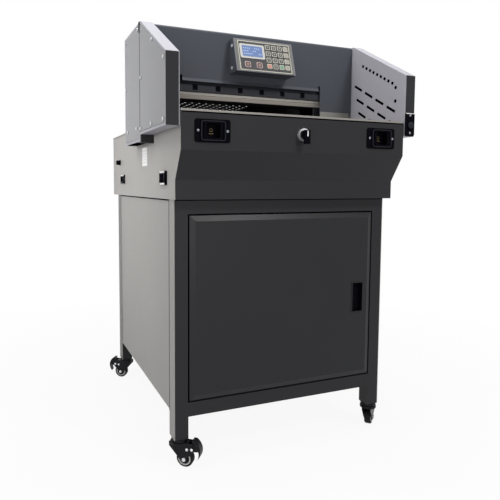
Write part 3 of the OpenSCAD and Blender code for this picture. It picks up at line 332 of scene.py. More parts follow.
# Textured polycarbonate overlay: a grey film without shine.
OVERLAY = Finish("overlay_polycarbonate", "#63625e", 0.5, SOFT_SKIN, 0.04, 40.0, specular=0.35)
# Dark ink printed under the film: the ground that the keys stand on.
KEY_FIELD = Finish("dark_overlay_print", "#2d2d2f", 0.5, FILM_SKIN, 0.04, 30.0, specular=0.3)
# Cream ink: the line round the panel, the keys' outlines and the figures.
CREAM_PRINT = Finish("cream_print", "#b7b4a4", 0.5, FILM_SKIN, 0.03, 20.0)
# Embossed polyester key film, dark: the number keys.
KEY_DARK = Finish("dark_key_film", "#2f302f", 0.45, FINE_SKIN, 0.05, 8.0)
# The same film printed in stone, red and green, and the rose ink round the two broad keys.
KEY_PALE = Finish("pale_key_film", "#8d887f", 0.45, FINE_SKIN, 0.04, 8.0)
KEY_RED = Finish("red_key_film", "#b16b60", 0.45, FINE_SKIN, 0.04, 8.0)
KEY_GREEN = Finish("green_key_film", "#598669", 0.45, FINE_SKIN, 0.04, 8.0)
KEY_ROSE = Finish("rose_key_outline", "#cfa3a0", 0.45, FINE_SKIN, 0.04, 8.0)
# Liquid crystal under clear film: a lit blue with a faint raster.
DISPLAY = Backlit("backlit_display", "#5c719b", 0.4, Grain(1.4, 0.002, 0.02), 0.08, 30.0, specular=0.2)
# Lit cells of the display: pale blue blocks.
DISPLAY_INK = Finish("display_characters", "#9db0d8", 0.3, Grain(0.8, 0.002), 0.03, 6.0)
# Amber pad print on the hand buttons: dim gold on black.
AMBER_PRINT = Finish("amber_print", "#6a5831", 0.5, INK_SKIN, 0.05, 6.0)
# White polyester film of the plate: the palest spot on the side. It also paints highlights: on the lips of the
# rocker and the inlet, and a light line along the top of the sensor module.
PLATE_FILM_AND_HIGHLIGHT = Finish("blank_plate_film_and_painted_highlight", "#e9e9e7", 0.42, FILM_SKIN, 0.03, 20.0)
# Grey ink of the plate's rules: thin lines that break up the white.
PLATE_RULE = Finish("plate_rule_print", "#a3a3a3", 0.42, Grain(1.0, 0.005), 0.03, 20.0)
# White paint in the selector's groove: a crisp stripe.
WHITE_PRINT = Finish("white_print", "#f0f0ee", 0.4, INK_SKIN, 0.02, 10.0)


class Shape:
    """A mesh in the making, shaped by bmesh operators in metres."""

    def __init__(self) -> None:
        """Starts an empty mesh."""
        self.bm = bmesh.new()

    def box(self, corner: Sequence[float], opposite: Sequence[float], radius: float = 0.0,
            segments: int = 3) -> "Shape":
        """Adds a box between two opposite corners, with its edges rounded.

        Args:
            corner: any corner.
            opposite: the corner across from it.
            radius: the edge radius, 0 for none.
            segments: facets across a rounded edge.

        Returns:
            The shape itself.
        """
        low, high = (Vector(end) for end in zip(*map(sorted, zip(corner, opposite))))
        fresh = Shape()
        bmesh.ops.create_cube(fresh.bm, size=1.0)
        bmesh.ops.scale(fresh.bm, vec=high - low, verts=fresh.bm.verts)
        bmesh.ops.translate(fresh.bm, vec=(low + high) / 2, verts=fresh.bm.verts)
        if radius:
            fresh.round_edges(fresh.bm.edges, radius, segments)
        return self.take(fresh)

    def strip(self, corner: Sequence[float], opposite: Sequence[float]) -> "Shape":
        """Adds a thin strip between two opposite corners, its edges just broken, and returns the shape."""
        return self.box(corner, opposite, HAIR, 1)

    def round_edges(self, edges: Iterable[bmesh.types.BMEdge], radius: float, segments: int = 2) -> "Shape":
        """Bevels edges round.

        Args:
            edges: the edges to round.
            radius: the width of the bevel.
            segments: facets across it.

        Returns:
            The shape itself.
        """
        bmesh.ops.bevel(self.bm, geom=list(edges), offset=radius, offset_type="OFFSET", segments=segments,
                        profile=0.5, affect="EDGES", material=-1, clamp_overlap=True)
        return self

    def plate(self, width: float, height: float, thickness: float, corner: float, edge: float = 0.0,
              segments: int = 5) -> "Shape":
        """Adds a plate about the origin in the XZ plane, its face towards -Y and its back at Y 0.

        Args:
            width: its size along X.
            height: its size along Z.
            thickness: its size along Y.
            corner: the radius of its four corners.
            edge: the radius round its face, 0 for none.
            segments: facets round a corner.

        Returns:
            The shape itself.
        """
        fresh = Shape().box((-width / 2, -thickness, -height / 2), (width / 2, 0, height / 2))
        upright = [e for e in fresh.bm.edges if abs(e.verts[0].co.y - e.verts[1].co.y) > thickness / 2]
        fresh.round_edges(upright, corner, segments)
        if edge:
            rim = [e for e in fresh.bm.edges if all(v.co.y < MERGE - thickness for v in e.verts)]
            fresh.round_edges(rim, edge)
        return self.take(fresh)

    def ring(self, width: float, height: float, thickness: float, corner: float, wall: float) -> "Shape":
        """Adds a rounded frame about the origin in the XZ plane, its face towards -Y and its back at Y 0.

        Args:
            width: its size along X.
            height: its size along Z.
            thickness: its size along Y.
            corner: the radius of its outer corners.
            wall: the width of its bars.

        Returns:
            The shape itself.
        """
        fresh = Shape().plate(width, height, thickness, corner)
        fresh.bm.normal_update()
        caps = [f for f in fresh.bm.faces if abs(f.normal.y) > 0.9]
        bmesh.ops.inset_region(fresh.bm, faces=caps, thickness=wall, use_even_offset=True)
        inner = list({e for f in caps for e in f.edges})
        bmesh.ops.delete(fresh.bm, geom=caps, context="FACES_ONLY")
        bmesh.ops.bridge_loops(fresh.bm, edges=inner)
        bmesh.ops.recalc_face_normals(fresh.bm, faces=fresh.bm.faces)
        return self.take(fresh)

    def lathe(self, profile: Sequence[Pair], steps: int) -> "Shape":
        """Adds a turned form about the Z axis.

        Args:
            profile: (radius, height) points from one end to the other.
            steps: facets round the axis.

        Returns:
            The shape itself.
        """
        fresh = Shape()
        points = [fresh.bm.verts.new((radius, 0, height)) for radius, height in profile]
        lines = [fresh.bm.edges.new(pair) for pair in zip(points, points[1:])]
        bmesh.ops.spin(fresh.bm, geom=points + lines, cent=(0, 0, 0), axis=(0, 0, 1), dvec=(0, 0, 0),
                       angle=math.tau, steps=steps, use_merge=True, use_duplicate=False)
        bmesh.ops.remove_doubles(fresh.bm, verts=fresh.bm.verts, dist=MERGE)
        bmesh.ops.dissolve_degenerate(fresh.bm, edges=fresh.bm.edges, dist=MERGE / 10)
        bmesh.ops.recalc_face_normals(fresh.bm, faces=fresh.bm.faces)
        return self.take(fresh)

    def prism(self, sides: int, radius: float, height: float, edge: float) -> "Shape":
        """Adds a prism about the Z axis that stands on Z 0.

        Args:
            sides: the number of its sides.
            radius: the distance of its corners from the axis.
            height: where it ends along Z.
            edge: the radius round its upper face.

        Returns:
            The shape itself.
        """
        fresh = Shape()
        bmesh.ops.create_cone(fresh.bm, cap_ends=True, segments=sides, radius1=radius, radius2=radius,
                              depth=height)
        bmesh.ops.translate(fresh.bm, vec=(0, 0, height / 2), verts=fresh.bm.verts)
        rim = [e for e in fresh.bm.edges if all(v.co.z > height - MERGE for v in e.verts)]
        fresh.round_edges(rim, edge)
        return self.take(fresh)

    def cross_head(self, diameter: float, height: float) -> "Shape":
        """Adds a pan head with a cross recess, its seat at Z 0 and its crown towards +Z.

        Args:
            diameter: the diameter of the head.
            height: its height.

        Returns:
            The shape itself.
        """
        # Shares of the head's radius: half a slot's width, and where a slot ends.
        cut, arm = 0.14, 0.62
        # Shares of the head's height: the crown's fall to its rim, before the root, and a slot's depth.
        fall, depth = 0.6, 0.42
        lines = (-1.0, -arm, -cut, cut, arm, 1.0)
        cells = len(lines) - 1
        fresh = Shape()
        bmesh.ops.create_grid(fresh.bm, x_segments=cells, y_segments=cells, size=1.0)
        for vert in fresh.bm.verts:
            x, y = (lines[round((c + 1) * cells / 2)] for c in vert.co.xy)
            reach = max(abs(x), abs(y))
            length = math.hypot(x, y) or 1.0
            round_off = reach / length if reach > cut else 1.0
            vert.co.xy = Vector((x, y)) * round_off
            vert.co.z = math.sqrt(max(0.0, 1 - fall * vert.co.xy.length_squared))
        middles = [(f, f.calc_center_median().xy) for f in fresh.bm.faces]
        slots = [f for f, at in middles if min(abs(at.x), abs(at.y)) < cut / 2 and at.length < arm]
        sunk = bmesh.ops.extrude_face_region(fresh.bm, geom=slots)
        bmesh.ops.delete(fresh.bm, geom=slots, context="FACES_ONLY")
        floor = [v for v in sunk["geom"] if isinstance(v, bmesh.types.BMVert)]
        bmesh.ops.translate(fresh.bm, vec=(0, 0, -depth), verts=floor)
        rim = [e for e in fresh.bm.edges if e.is_boundary]
        skirt = bmesh.ops.extrude_edge_only(fresh.bm, edges=rim)
        for vert in (v for v in skirt["geom"] if isinstance(v, bmesh.types.BMVert)):
            vert.co.z = 0.0
        bmesh.ops.scale(fresh.bm, vec=(diameter / 2, diameter / 2, height), verts=fresh.bm.verts)
        bmesh.ops.holes_fill(fresh.bm, edges=[e for e in fresh.bm.edges if e.is_boundary])
        bmesh.ops.recalc_face_normals(fresh.bm, faces=fresh.bm.faces)
        return self.take(fresh)

    def lettering(self, text: str, height: float, thickness: float) -> "Shape":
        """Adds raised figures about the origin in the XZ plane, facing -Y.

        Args:
            text: the figures.
            height: their height.
            thickness: how far they stand out.

        Returns:
            The shape itself.
        """
        curve = bpy.data.curves.new("figure", "FONT")
        curve.body, curve.size, curve.extrude = text, height * FONT_SHARE, thickness / 2
        curve.align_x, curve.align_y = "CENTER", "CENTER"
        curve.resolution_u = 3
        carrier = bpy.data.objects.new("figure", curve)
        mesh = bpy.data.meshes.new_from_object(carrier)
        fresh = Shape()
        fresh.bm.from_mesh(mesh)
        bpy.data.objects.remove(carrier)
        bpy.data.curves.remove(curve)
        bpy.data.meshes.remove(mesh)
        return self.take(fresh, turn(90, "X"))

    def place(self, matrix: Matrix) -> "Shape":
        """Moves the whole shape by a matrix and returns it."""
        bmesh.ops.transform(self.bm, matrix=matrix, verts=self.bm.verts)
        return self

    def take(self, other: "Shape", matrix: Optional[Matrix] = None) -> "Shape":
        """Takes in another shape, which is used up.

        Args:
            other: the shape to take in.
            matrix: where it goes, or None to leave it in place.

        Returns:
            The shape itself.
        """
        if matrix is not None:
            other.place(matrix)
        mesh = other.to_mesh("passing")
        self.bm.from_mesh(mesh)
        bpy.data.meshes.remove(mesh)
        return self

    def to_mesh(self, name: str) -> bpy.types.Mesh:
        """Turns the shape, which is used up, into a mesh.

        Args:
            name: the mesh's name.

        Returns:
            The mesh.
        """
        mesh = bpy.data.meshes.new(name)
        self.bm.to_mesh(mesh)
        self.bm.free()
        return mesh


def make_piece(name: str, shape: Shape, finish: Finish, body: str,
               smooth_deg: float = 35.0) -> bpy.types.Object:
    """Makes a finished piece of a shape and lets it ride on a body.

    Args:
        name: the piece's name.
        shape: its mesh, which is used up.
        finish: its surface.
        body: the body that it moves with.
        smooth_deg: edges that bend more than this stay sharp.

    Returns:
        The new object.
    """
    mesh = shape.to_mesh(name)
    mesh.shade_smooth()
    mesh.set_sharp_from_angle(angle=math.radians(smooth_deg))
    mesh.materials.append(finish.material())
    piece = add_object(name, mesh)
    piece.modifiers.new("even_faces", "WEIGHTED_NORMAL").keep_sharp = True
    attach(piece, body)
    log.info("%s rides on %s", name, body)
    return piece


def add_screws(name: str, head: Pair, seats: Iterable[Matrix], finish: Finish) -> None:
    """Sets cross-recessed screws on their seats, as one piece.

    Args:
        name: the piece's name.
        head: the diameter and height of a head.
        seats: where the heads go.
        finish: their plating.
    """
    shape = Shape()
    for seat in seats:
        shape.take(Shape().cross_head(*head), seat)
    make_piece(name, shape, finish, ROOT)


def body_of(node: str) -> str:
    """Returns the name of the body that carries a node."""
    bodies = frame["record"]["behaviour"]["bodies"]
    return next(name for name, nodes in bodies.items() if node in nodes)


def sides_of(node: str) -> tuple[tuple[float, int], ...]:
    """Returns where a node's left and right faces lie along X, each with the sign of its way out."""
    low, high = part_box(node)
    return (low.x, -1), (high.x, 1)


def each_caster(stem: str) -> tuple[str, ...]:
    """Returns the names that a caster's piece has at the four places."""
    return tuple(f"{stem}_{place}" for place in PLACES)


class Edge(Enum):
    """How an edge of a piece was made, by its radius in millimetres."""

    PLAIN = 0.0
    DEBURRED = 0.35
    MOULDED = 0.7
    FOLDED = 1.0
    CAST = 2.5


@dataclass
class Skins:
    """Every solid's surface: rounded copies of the visible ones, and a finish on all of them."""

    rounded: tuple[tuple[Finish, Edge, tuple[str, ...]], ...] = (
        (CHARCOAL, Edge.FOLDED, ("door", "front_frame", "base_front_panel")),
        (HEAD_LIT_COAT, Edge.FOLDED, ("head_cover", "control_box")),
        (CHARCOAL, Edge.DEBURRED, ("wing_fronts", "rear_guard", "cabinet_back")),
        (CARRIER_COAT, Edge.FOLDED, ("blade_carrier",)),
        (LINER_LIT_GREY, Edge.DEBURRED, ("wing_left", "wing_right")),
        (WING_SHADED_GREY, Edge.DEBURRED, ("wing_covers",)),
        (LIGHT_GREY, Edge.DEBURRED, ("cabinet_side_left", "cabinet_side_right")),
        (BASE_LIT_GREY, Edge.DEBURRED, ("base_side_left", "base_side_right", "base_back_panel")),
        (GROUND_STEEL, Edge.DEBURRED, ("table", "throat_skirts")),
        (BLADE_STEEL, Edge.PLAIN, ("blade",)),
        (CASTING, Edge.CAST, ("gantry",)),
        (CAST_SHADED, Edge.FOLDED, ("clamp_beam",)),
        (CASTING, Edge.FOLDED, ("back_gauge",)),
        (ABS_BLACK_AND_SHADE, Edge.MOULDED, ("button_housings", "cut_button_left", "cut_button_right", "selector_knob",
                                   "wing_module", "door_pull", "power_inlet", "switch_frame", "fuse_holder")),
        (PBT_MATT, Edge.MOULDED, ("main_rocker",)),
        (ABS_BLACK_AND_SHADE, Edge.FOLDED, ("gauge_motor",)),
        (MACHINE_GREY, Edge.CAST, ("drive_motor",)),
        (BLACK_ENAMEL, Edge.DEBURRED, ("caster_plates", *each_caster("caster_fork"))),
        (BLACK_ENAMEL, Edge.MOULDED, each_caster("caster_brake")))
    plain: tuple[tuple[Finish, tuple[str, ...]], ...] = (
        (LIGHT_GREY, ("cabinet_floor",)), (MACHINE_GREY, ("base_chassis",)), (BLACK_ENAMEL, ("hinge_pins",)),
        (STICK_RED, ("cutting_stick",)), (GROUND_STEEL, ("lead_screw", "crank", "pull_rod")),
        (BLACK_OXIDE_AND_SHADOW, ("blade_bolts",)), (CHARCOAL, ("guard_screen",)), (OVERLAY, ("control_overlay",)),
        (CHROME, ("selector_ring",)), (TYRE, each_caster("caster_wheel")))
    flat_deg: float = 0.5
    sharp_deg: float = 20.0
    smooth_deg: float = 32.0

    def build(self) -> None:
        """Dresses every solid."""
        for finish, edge, nodes in self.rounded:
            for node in nodes:
                self.dress(node, finish)
                self.round_copy(node, finish, edge)
        for finish, nodes in self.plain:
            for node in nodes:
                self.dress(node, finish)

    def dress(self, node: str, finish: Finish) -> None:
        """Gives a solid its finish in place.

        Args:
            node: the solid's name.
            finish: its surface.
        """
        slots = frame["nodes"][node].data.materials
        slots.clear()
        slots.append(finish.material())

    def round_copy(self, node: str, finish: Finish, edge: Edge) -> None:
        """Shows a copy of a solid whose edges are rounded as its making leaves them.

        Args:
            node: the solid's name.
            finish: its surface.
            edge: how its edges were made.
        """
        shape = Shape()
        shape.bm.from_mesh(frame["nodes"][node].data)
        bmesh.ops.remove_doubles(shape.bm, verts=shape.bm.verts, dist=MERGE)
        bmesh.ops.dissolve_limit(shape.bm, angle_limit=math.radians(self.flat_deg), verts=shape.bm.verts,
                                 edges=shape.bm.edges, use_dissolve_boundaries=False)
        if edge is not Edge.PLAIN:
            limit = math.radians(self.sharp_deg)
            sharp = [e for e in shape.bm.edges if len(e.link_faces) == 2 and e.calc_face_angle() > limit]
            shape.round_edges(sharp, edge.value * MM)
        piece = make_piece(f"{node}_skin", shape, finish, body_of(node), self.smooth_deg)
        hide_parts(node)


@dataclass
class ControlPanel:
    """The membrane panel on the sloping face of the control box.

    A form is a plate's thickness, corner radius and edge radius. Places on the panel are shares of its width
    from the left and of its height from the top. A screw, here and below, is its head's diameter and height.
    """

    at: Triple = (-0.0045, -0.230, 1.106)
    face_h: float = 0.10786
    tilt_deg: float = 17.26
    film: float = 0.0015
    panel_w: float = 0.175
    panel_h: float = 0.097
    panel_drop: float = 0.0015
    flange_in: Pair = (0.0008, 0.0012)
    flange_form: Sizes = (0.0008, 0.002, 0.0003)
    line_w: float = 0.0024
    line_form: Sizes = (0.0002, 0.0004)
    field_form: Sizes = (0.0001, 0.001)
    display_at: Pair = (0.262, 0.35)
    bezel: Pair = (0.082, 0.047)
    bezel_form: Sizes = (0.0012, 0.005, 0.0005)
    glass: Pair = (0.067, 0.035)
    glass_form: Sizes = (0.0004, 0.0015)
    lit_cells: tuple[tuple[int, ...], ...] = ((0, 1, 2, 3, 6, 7, 8), (0, 1, 2, 5, 6), (0, 1, 2, 3, 4, 8, 9))
    first_cell: Pair = (-0.0280, 0.0090)
    cell_step: Pair = (0.0062, 0.0090)
    cell: Pair = (0.0034, 0.0036)
    cell_form: Sizes = (0.0001, 0.0004)
    key: Pair = (0.0162, 0.0154)
    key_form: Sizes = (0.0005, 0.0032, HAIR)
    cap_in: float = 0.0038
    cap_form: Sizes = (0.0004, 0.0024, HAIR)
    columns: Sizes = (0.568, 0.687, 0.806, 0.922)
    rows: Sizes = (0.153, 0.371, 0.588, 0.802)
    figures: tuple[str, ...] = ("789 ", "456 ", "123 ", " 0  ")
    figure: Pair = (0.0058, 0.0002)
    figure_lift: float = 0.00095
    broad_keys: Pairs = ((0.149, 0.80), (0.371, 0.80))
    broad_out: float = 0.003
    broad_form: Sizes = (0.0005, 0.004, HAIR)
    broad_cap_form: Sizes = (0.0004, 0.003, HAIR)
    dot: Pair = (0.0028, 0.0002)
    dot_lift: float = 0.0009
    screw: Pair = (0.0092, 0.0034)
    screws_at: Pairs = ((-0.193, 1.186), (-0.1945, 1.120))

    def frame_matrix(self) -> Matrix:
        """Returns the matrix from the panel's own plane to the machine."""
        return Matrix.Translation(self.at) @ turn(-self.tilt_deg, "X")

    def spot(self, across: float, down: float, lift: float = 0.0) -> Matrix:
        """Returns the matrix of a place at shares of the panel's width and height, a lift above its film."""
        x, z = (across - 0.5) * self.panel_w, self.face_h / 2 - self.panel_drop + (0.5 - down) * self.panel_h
        return self.frame_matrix() @ move(x, -self.film - lift, z)

    def show(self, name: str, shape: Shape, finish: Finish) -> None:
        """Makes a piece of the panel's print and films."""
        make_piece(name, shape, finish, ROOT)

    def build(self) -> None:
        """Builds border, display, keys and screws."""
        self.border()
        self.display()
        self.keys()
        self.screws()

    def border(self) -> None:
        """The grey frame on the box, the dark field of the panel and the cream line printed round it."""
        low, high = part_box("control_box")
        across, along = self.flange_in
        rim = Shape().plate(high.x - low.x - across, self.face_h - along, *self.flange_form)
        self.show("panel_frame", rim.place(self.frame_matrix() @ move(0, 0, self.face_h / 2)), FLANGE_COAT)
        wide, tall = self.panel_w - self.line_w, self.panel_h - self.line_w
        middle = self.spot(0.5, 0.5)
        self.show("panel_field", Shape().plate(wide, tall, *self.field_form).place(middle), KEY_FIELD)
        lines = Shape()
        for side in SIDES:
            level = Shape().plate(self.panel_w, self.line_w, *self.line_form)
            lines.take(level, middle @ move(0, 0, side * tall / 2))
            upright = Shape().plate(self.line_w, self.panel_h - 2 * self.line_w, *self.line_form)
            lines.take(upright, middle @ move(side * wide / 2, 0, 0))
        self.show("panel_border", lines, CREAM_PRINT)

    def display(self) -> None:
        """The display in its white bezel, with rows of blank characters."""
        on_bezel = self.bezel_form[0]
        on_glass = on_bezel + self.glass_form[0]
        bezel = Shape().plate(*self.bezel, *self.bezel_form)
        self.show("display_bezel", bezel.place(self.spot(*self.display_at)), ABS_WHITE)
        glass = Shape().plate(*self.glass, *self.glass_form)
        self.show("display_glass", glass.place(self.spot(*self.display_at, on_bezel)), DISPLAY)
        (left, top), (right, down) = self.first_cell, self.cell_step
        page = self.spot(*self.display_at, on_glass)
        marks = Shape()
        for row, cells in enumerate(self.lit_cells):
            for cell in cells:
                mark = Shape().plate(*self.cell, *self.cell_form, segments=2)
                marks.take(mark, page @ move(left + cell * right, 0, top - row * down))
        self.show("display_characters", marks, DISPLAY_INK)

    def keys(self) -> None:
        """The grid of keys, the two keys under the display and the figures on them."""
        outline, rose, figures = Shape(), Shape(), Shape()
        tops = {finish: Shape() for finish in (KEY_DARK, KEY_PALE, KEY_RED, KEY_GREEN)}
        special = {(3, 0): KEY_RED, (3, 2): KEY_GREEN}
        (wide, high), lift, (radius, thick) = self.key, self.key_form[0], self.dot
        for r, down in enumerate(self.rows):
            for c, across in enumerate(self.columns):
                outline.take(Shape().plate(wide, high, *self.key_form), self.spot(across, down))
                finish = special.get((r, c), KEY_PALE if c == 3 else KEY_DARK)
                cap = Shape().plate(wide - self.cap_in, high - self.cap_in, *self.cap_form)
                tops[finish].take(cap, self.spot(across, down, lift))
                if self.figures[r][c] != " ":
                    figure = Shape().lettering(self.figures[r][c], *self.figure)
                    figures.take(figure, self.spot(across, down, self.figure_lift))
        for across, down in self.broad_keys:
            edge = Shape().plate(wide + self.broad_out, high + self.broad_out, *self.broad_form)
            rose.take(edge, self.spot(across, down))
            cap = Shape().plate(wide, high, *self.broad_cap_form)
            tops[KEY_DARK].take(cap, self.spot(across, down, lift))
            dot = Shape().lathe(((0.0, 0.0), (radius, 0.0), (radius, thick), (0.0, thick)), steps=20)
            tops[KEY_RED].take(dot, self.spot(across, down, self.dot_lift) @ turn(90, "X"))
        self.show("key_outlines", outline, CREAM_PRINT)
        self.show("round_key_outlines", rose, KEY_ROSE)
        self.show("key_figures", figures, CREAM_PRINT)
        for finish, shape in tops.items():
            self.show(f"keys_{finish.name}", shape, finish)

    def screws(self) -> None:
        """The screws in the two side walls of the box."""
        walls = sides_of("control_box")
        seats = [facing((x, y, z), (way, 0, 0)) for x, way in walls for y, z in self.screws_at]
        add_screws("box_screws", self.screw, seats, NICKEL)


@dataclass
class HandControls:
    """What shows on the hand buttons and the selector on the front panel.

    A bezel is its width, height, thickness, corner radius and wall.
    """

    housing_w: float = 0.096
    housing_y: float = -0.433
    screw_in: float = 0.0085
    screw: Pair = (0.0066, 0.002)
    bezel: Sizes = (0.066, 0.050, 0.0012, 0.007, 0.0026)
    lid: float = 0.0005
    print_t: float = 0.0003
    print_in: float = 0.001
    print_ring: Pair = (0.0032, 0.0044)
    ring_up: float = 0.003
    print_bar: Pair = (0.013, 0.0016)
    bar_corner: float = 0.0005
    bar_down: float = 0.006
    stripe: Pair = (0.0032, 0.015)
    stripe_corner: float = 0.0008
    stripe_down: float = 0.0105

    def build(self) -> None:
        """Builds the housings' screws and bezels, the buttons' prints and the selector's stripe."""
        self.housing_screws()
        self.housing_bezels()
        for side in HANDS:
            self.button_print(side)
        self.selector_stripe()

    def housing_screws(self) -> None:
        """One screw on each side of a housing."""
        low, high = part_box("button_housings")
        z = (low.z + high.z) / 2
        near, far = self.screw_in, self.housing_w - self.screw_in
        spots = low.x + near, low.x + far, high.x - far, high.x - near
        seats = [facing((x, self.housing_y, z), (0, -1, 0)) for x in spots]
        add_screws("housing_screws", self.screw, seats, ZINC)

    def housing_bezels(self) -> None:
        """The raised satin frame round each button."""
        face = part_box("button_housings")[0].y + self.lid
        shape = Shape()
        for side in HANDS:
            low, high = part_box(f"cut_button_{side}")
            middle = (low + high) / 2
            shape.take(Shape().ring(*self.bezel), move(middle.x, face, middle.z))
        make_piece("housing_bezels", shape, ABS_SATIN, ROOT)

    def button_print(self, side: str) -> None:
        """A plain amber ring and bar on a button's face.

        Args:
            side: left or right.
        """
        node = f"cut_button_{side}"
        low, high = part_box(node)
        middle = Vector(((low.x + high.x) / 2, low.y + self.print_in, (low.z + high.z) / 2))
        (inner, outer), top = self.print_ring, self.print_t
        section = ((inner, 0.0), (outer, 0.0), (outer, top), (inner, top), (inner, 0.0))
        shape = Shape().lathe(section, steps=24)
        shape.place(facing(middle + Vector((0, 0, self.ring_up)), (0, -1, 0)))
        bar = Shape().plate(*self.print_bar, top, self.bar_corner)
        shape.take(bar, Matrix.Translation(middle + Vector((0, 0, -self.bar_down))))
        make_piece(f"button_print_{side}", shape, AMBER_PRINT, body_of(node))

    def selector_stripe(self) -> None:
        """The white stripe down the selector's lever."""
        low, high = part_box("selector_knob")
        shape = Shape().plate(*self.stripe, self.print_t, self.stripe_corner)
        shape.place(move((low.x + high.x) / 2, low.y, high.z - self.stripe_down))
        make_piece("selector_stripe", shape, WHITE_PRINT, "selector")


@dataclass
class WingTrim:
    """Fasteners and trim of the two wings.

    A row of openings is how far ahead of and below the apex it starts, their count and step, their length
    and width, and where the first one ends. A clip is how far it reaches out, in, to each side, down and up,
    and its edge radius. The module's line is its height, thickness and corner radius.
    """

    seats: Pairs = (
        (-0.144, 1.215), (-0.302, 1.148), (-0.412, 1.079), (-0.179, 1.073), (-0.409, 0.931), (-0.293, 0.932),
        (-0.123, 0.935), (-0.174, 0.930), (-0.002, 0.934), (0.022, 1.07), (0.022, 1.215))
    screw: Pair = (0.0098, 0.0038)
    shadow_ring: Pairs = ((0.0, 0.0), (0.0058, 0.0), (0.0055, 0.0007), (0.0, 0.0007), (0.0, 0.0))
    seam_y: float = -0.164
    seam_low: float = 0.9226
    seam_end: float = 0.0004
    seal_w: float = 0.005
    seal_proud: float = 0.0003
    seal_deep: float = 0.0015
    clip: Sizes = (0.0022, 0.011, 0.006, 0.012, 0.0012, 0.0012)
    tongue: Sizes = (0.0018, 0.0005, 0.0032, 0.030, -0.011, 0.0007)
    mouth_x: Pair = (0.033, 0.0022)
    mouth_y: Pair = (-0.121, 0.018)
    mouth_z: Pair = (-0.0003, 0.0012)
    apex: Pair = (-0.178, 1.230)
    slope_deg: float = 29.055
    openings: tuple[Sizes, ...] = (
        (0.053, 0.074, 9, 0.0202, 0.011, 0.0085, 0.0055), (0.012, 0.130, 4, 0.061, 0.043, 0.008, 0.0),
        (0.023, 0.175, 4, 0.061, 0.043, 0.008, 0.0), (0.034, 0.220, 3, 0.061, 0.043, 0.008, 0.0))
    shade_fill_air: float = 0.0001
    shade_fill_sunk: float = 0.0003
    shade_fill_t: float = 0.001
    eyes: Pairs = ((-0.388, 1.062), (-0.388, 1.022))
    eye: Pair = (0.0052, 0.0005)
    module_face: float = 0.004
    module_screw: Pair = (0.007, 0.0018)
    module_screw_in: Pair = (0.008, 0.007)
    lens: Pairs = ((0.0, 0.0021), (0.004, 0.0019), (0.0075, 0.0011), (0.0095, 0.0), (0.0, 0.0))
    lens_down: float = 0.003
    line_in: float = 0.003
    line: Sizes = (0.0022, 0.0004, 0.0008)
    line_down: float = 0.0016

    def build(self) -> None:
        """Builds the screws with their painted shadow rings, the seams' clips, the seam seals widened with painted
        shade, the painted shade under and inside the wings, and the sensor module's trim with its painted
        highlight.
        """
        self.cover_screws()
        self.seam_clips()
        self.seam_seals_and_shade()
        self.mouth_painted_shades()
        self.vent_shade_fills()
        self.module_trim()

    def cover_screws(self) -> None:
        """The screws of the covers, each with a black ring under its head: a painted shadow of the head."""
        covers = sides_of("wing_covers")
        seats = [facing((x, y, z), (way, 0, 0)) for x, way in covers for y, z in self.seats]
        add_screws("wing_screws", self.screw, seats, NICKEL)
        # Black rings under the heads: painted shadows of the screw heads.
        shape = Shape()
        for seat in seats:
            shape.take(Shape().lathe(self.shadow_ring, steps=24), seat)
        make_piece("wing_shadow_rings", shape, BLACK_OXIDE_AND_SHADOW, ROOT)

    def seam_clips(self) -> None:
        """The black rubber clips, with their tongues, over the tops of the seams between the covers."""
        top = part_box("wing_left")[1].z
        shape = Shape()
        for x, way in sides_of("wing_covers"):
            for out, back, half, down, up, radius in (self.clip, self.tongue):
                shape.box((x + way * out, self.seam_y - half, top - down),
                          (x - way * back, self.seam_y + half, top + up), radius)
        make_piece("seam_clips", shape, RUBBER_TRIM, ROOT)

    def seam_seals_and_shade(self) -> None:
        """The rubber strips in the seams between the covers: the real joint, drawn wide enough to take in the
        shade of the flanges beside it as painted shade.
        """
        half, top = self.seal_w / 2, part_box("wing_covers")[1].z - self.seam_end
        shape = Shape()
        for x, way in sides_of("wing_covers"):
            shape.strip((x - way * self.seal_deep, self.seam_y - half, self.seam_low),
                        (x + way * self.seal_proud, self.seam_y + half, top))
        make_piece("seam_seals_and_shade", shape, RUBBER_TRIM, ROOT)

    def mouth_painted_shades(self) -> None:
        """Black sheets under the wings: painted shade in the openings there."""
        side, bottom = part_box("wing_covers")[1].x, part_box("wing_left")[0].z
        shape = Shape()
        for way in SIDES:
            inner, outer = (way * (side - x) for x in self.mouth_x)
            shape.strip((inner, self.mouth_y[0], bottom + self.mouth_z[0]),
                        (outer, self.mouth_y[1], bottom + self.mouth_z[1]))
        make_piece("mouth_painted_shades", shape, SHADE_BLACK, ROOT)

    def vent_shade_fills(self) -> None:
        """Black fills in the windows and vents of the inner sheets and in the round holes ahead of them: painted
        shade of the wings' dark insides.
        """
        air, inner = self.shade_fill_air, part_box("wing_right")[0].x
        near = inner + self.shade_fill_sunk
        far = near + self.shade_fill_t
        shape = Shape()
        for ahead, drop, count, step, long, wide, start in self.openings:
            row = move(0, self.apex[0] - ahead, self.apex[1] - drop) @ turn(self.slope_deg, "X")
            for way in SIDES:
                for i in range(int(count)):
                    end = start - i * step
                    fill = Shape().strip((way * near, end - long + air, air - wide / 2),
                                         (way * far, end - air, wide / 2 - air))
                    shape.take(fill, row)
        for way in SIDES:
            for y, z in self.eyes:
                shape.take(Shape().prism(24, *self.eye, HAIR), facing((way * inner, y, z), (-way, 0, 0)))
        make_piece("vent_shade_fills", shape, SHADE_BLACK, ROOT)

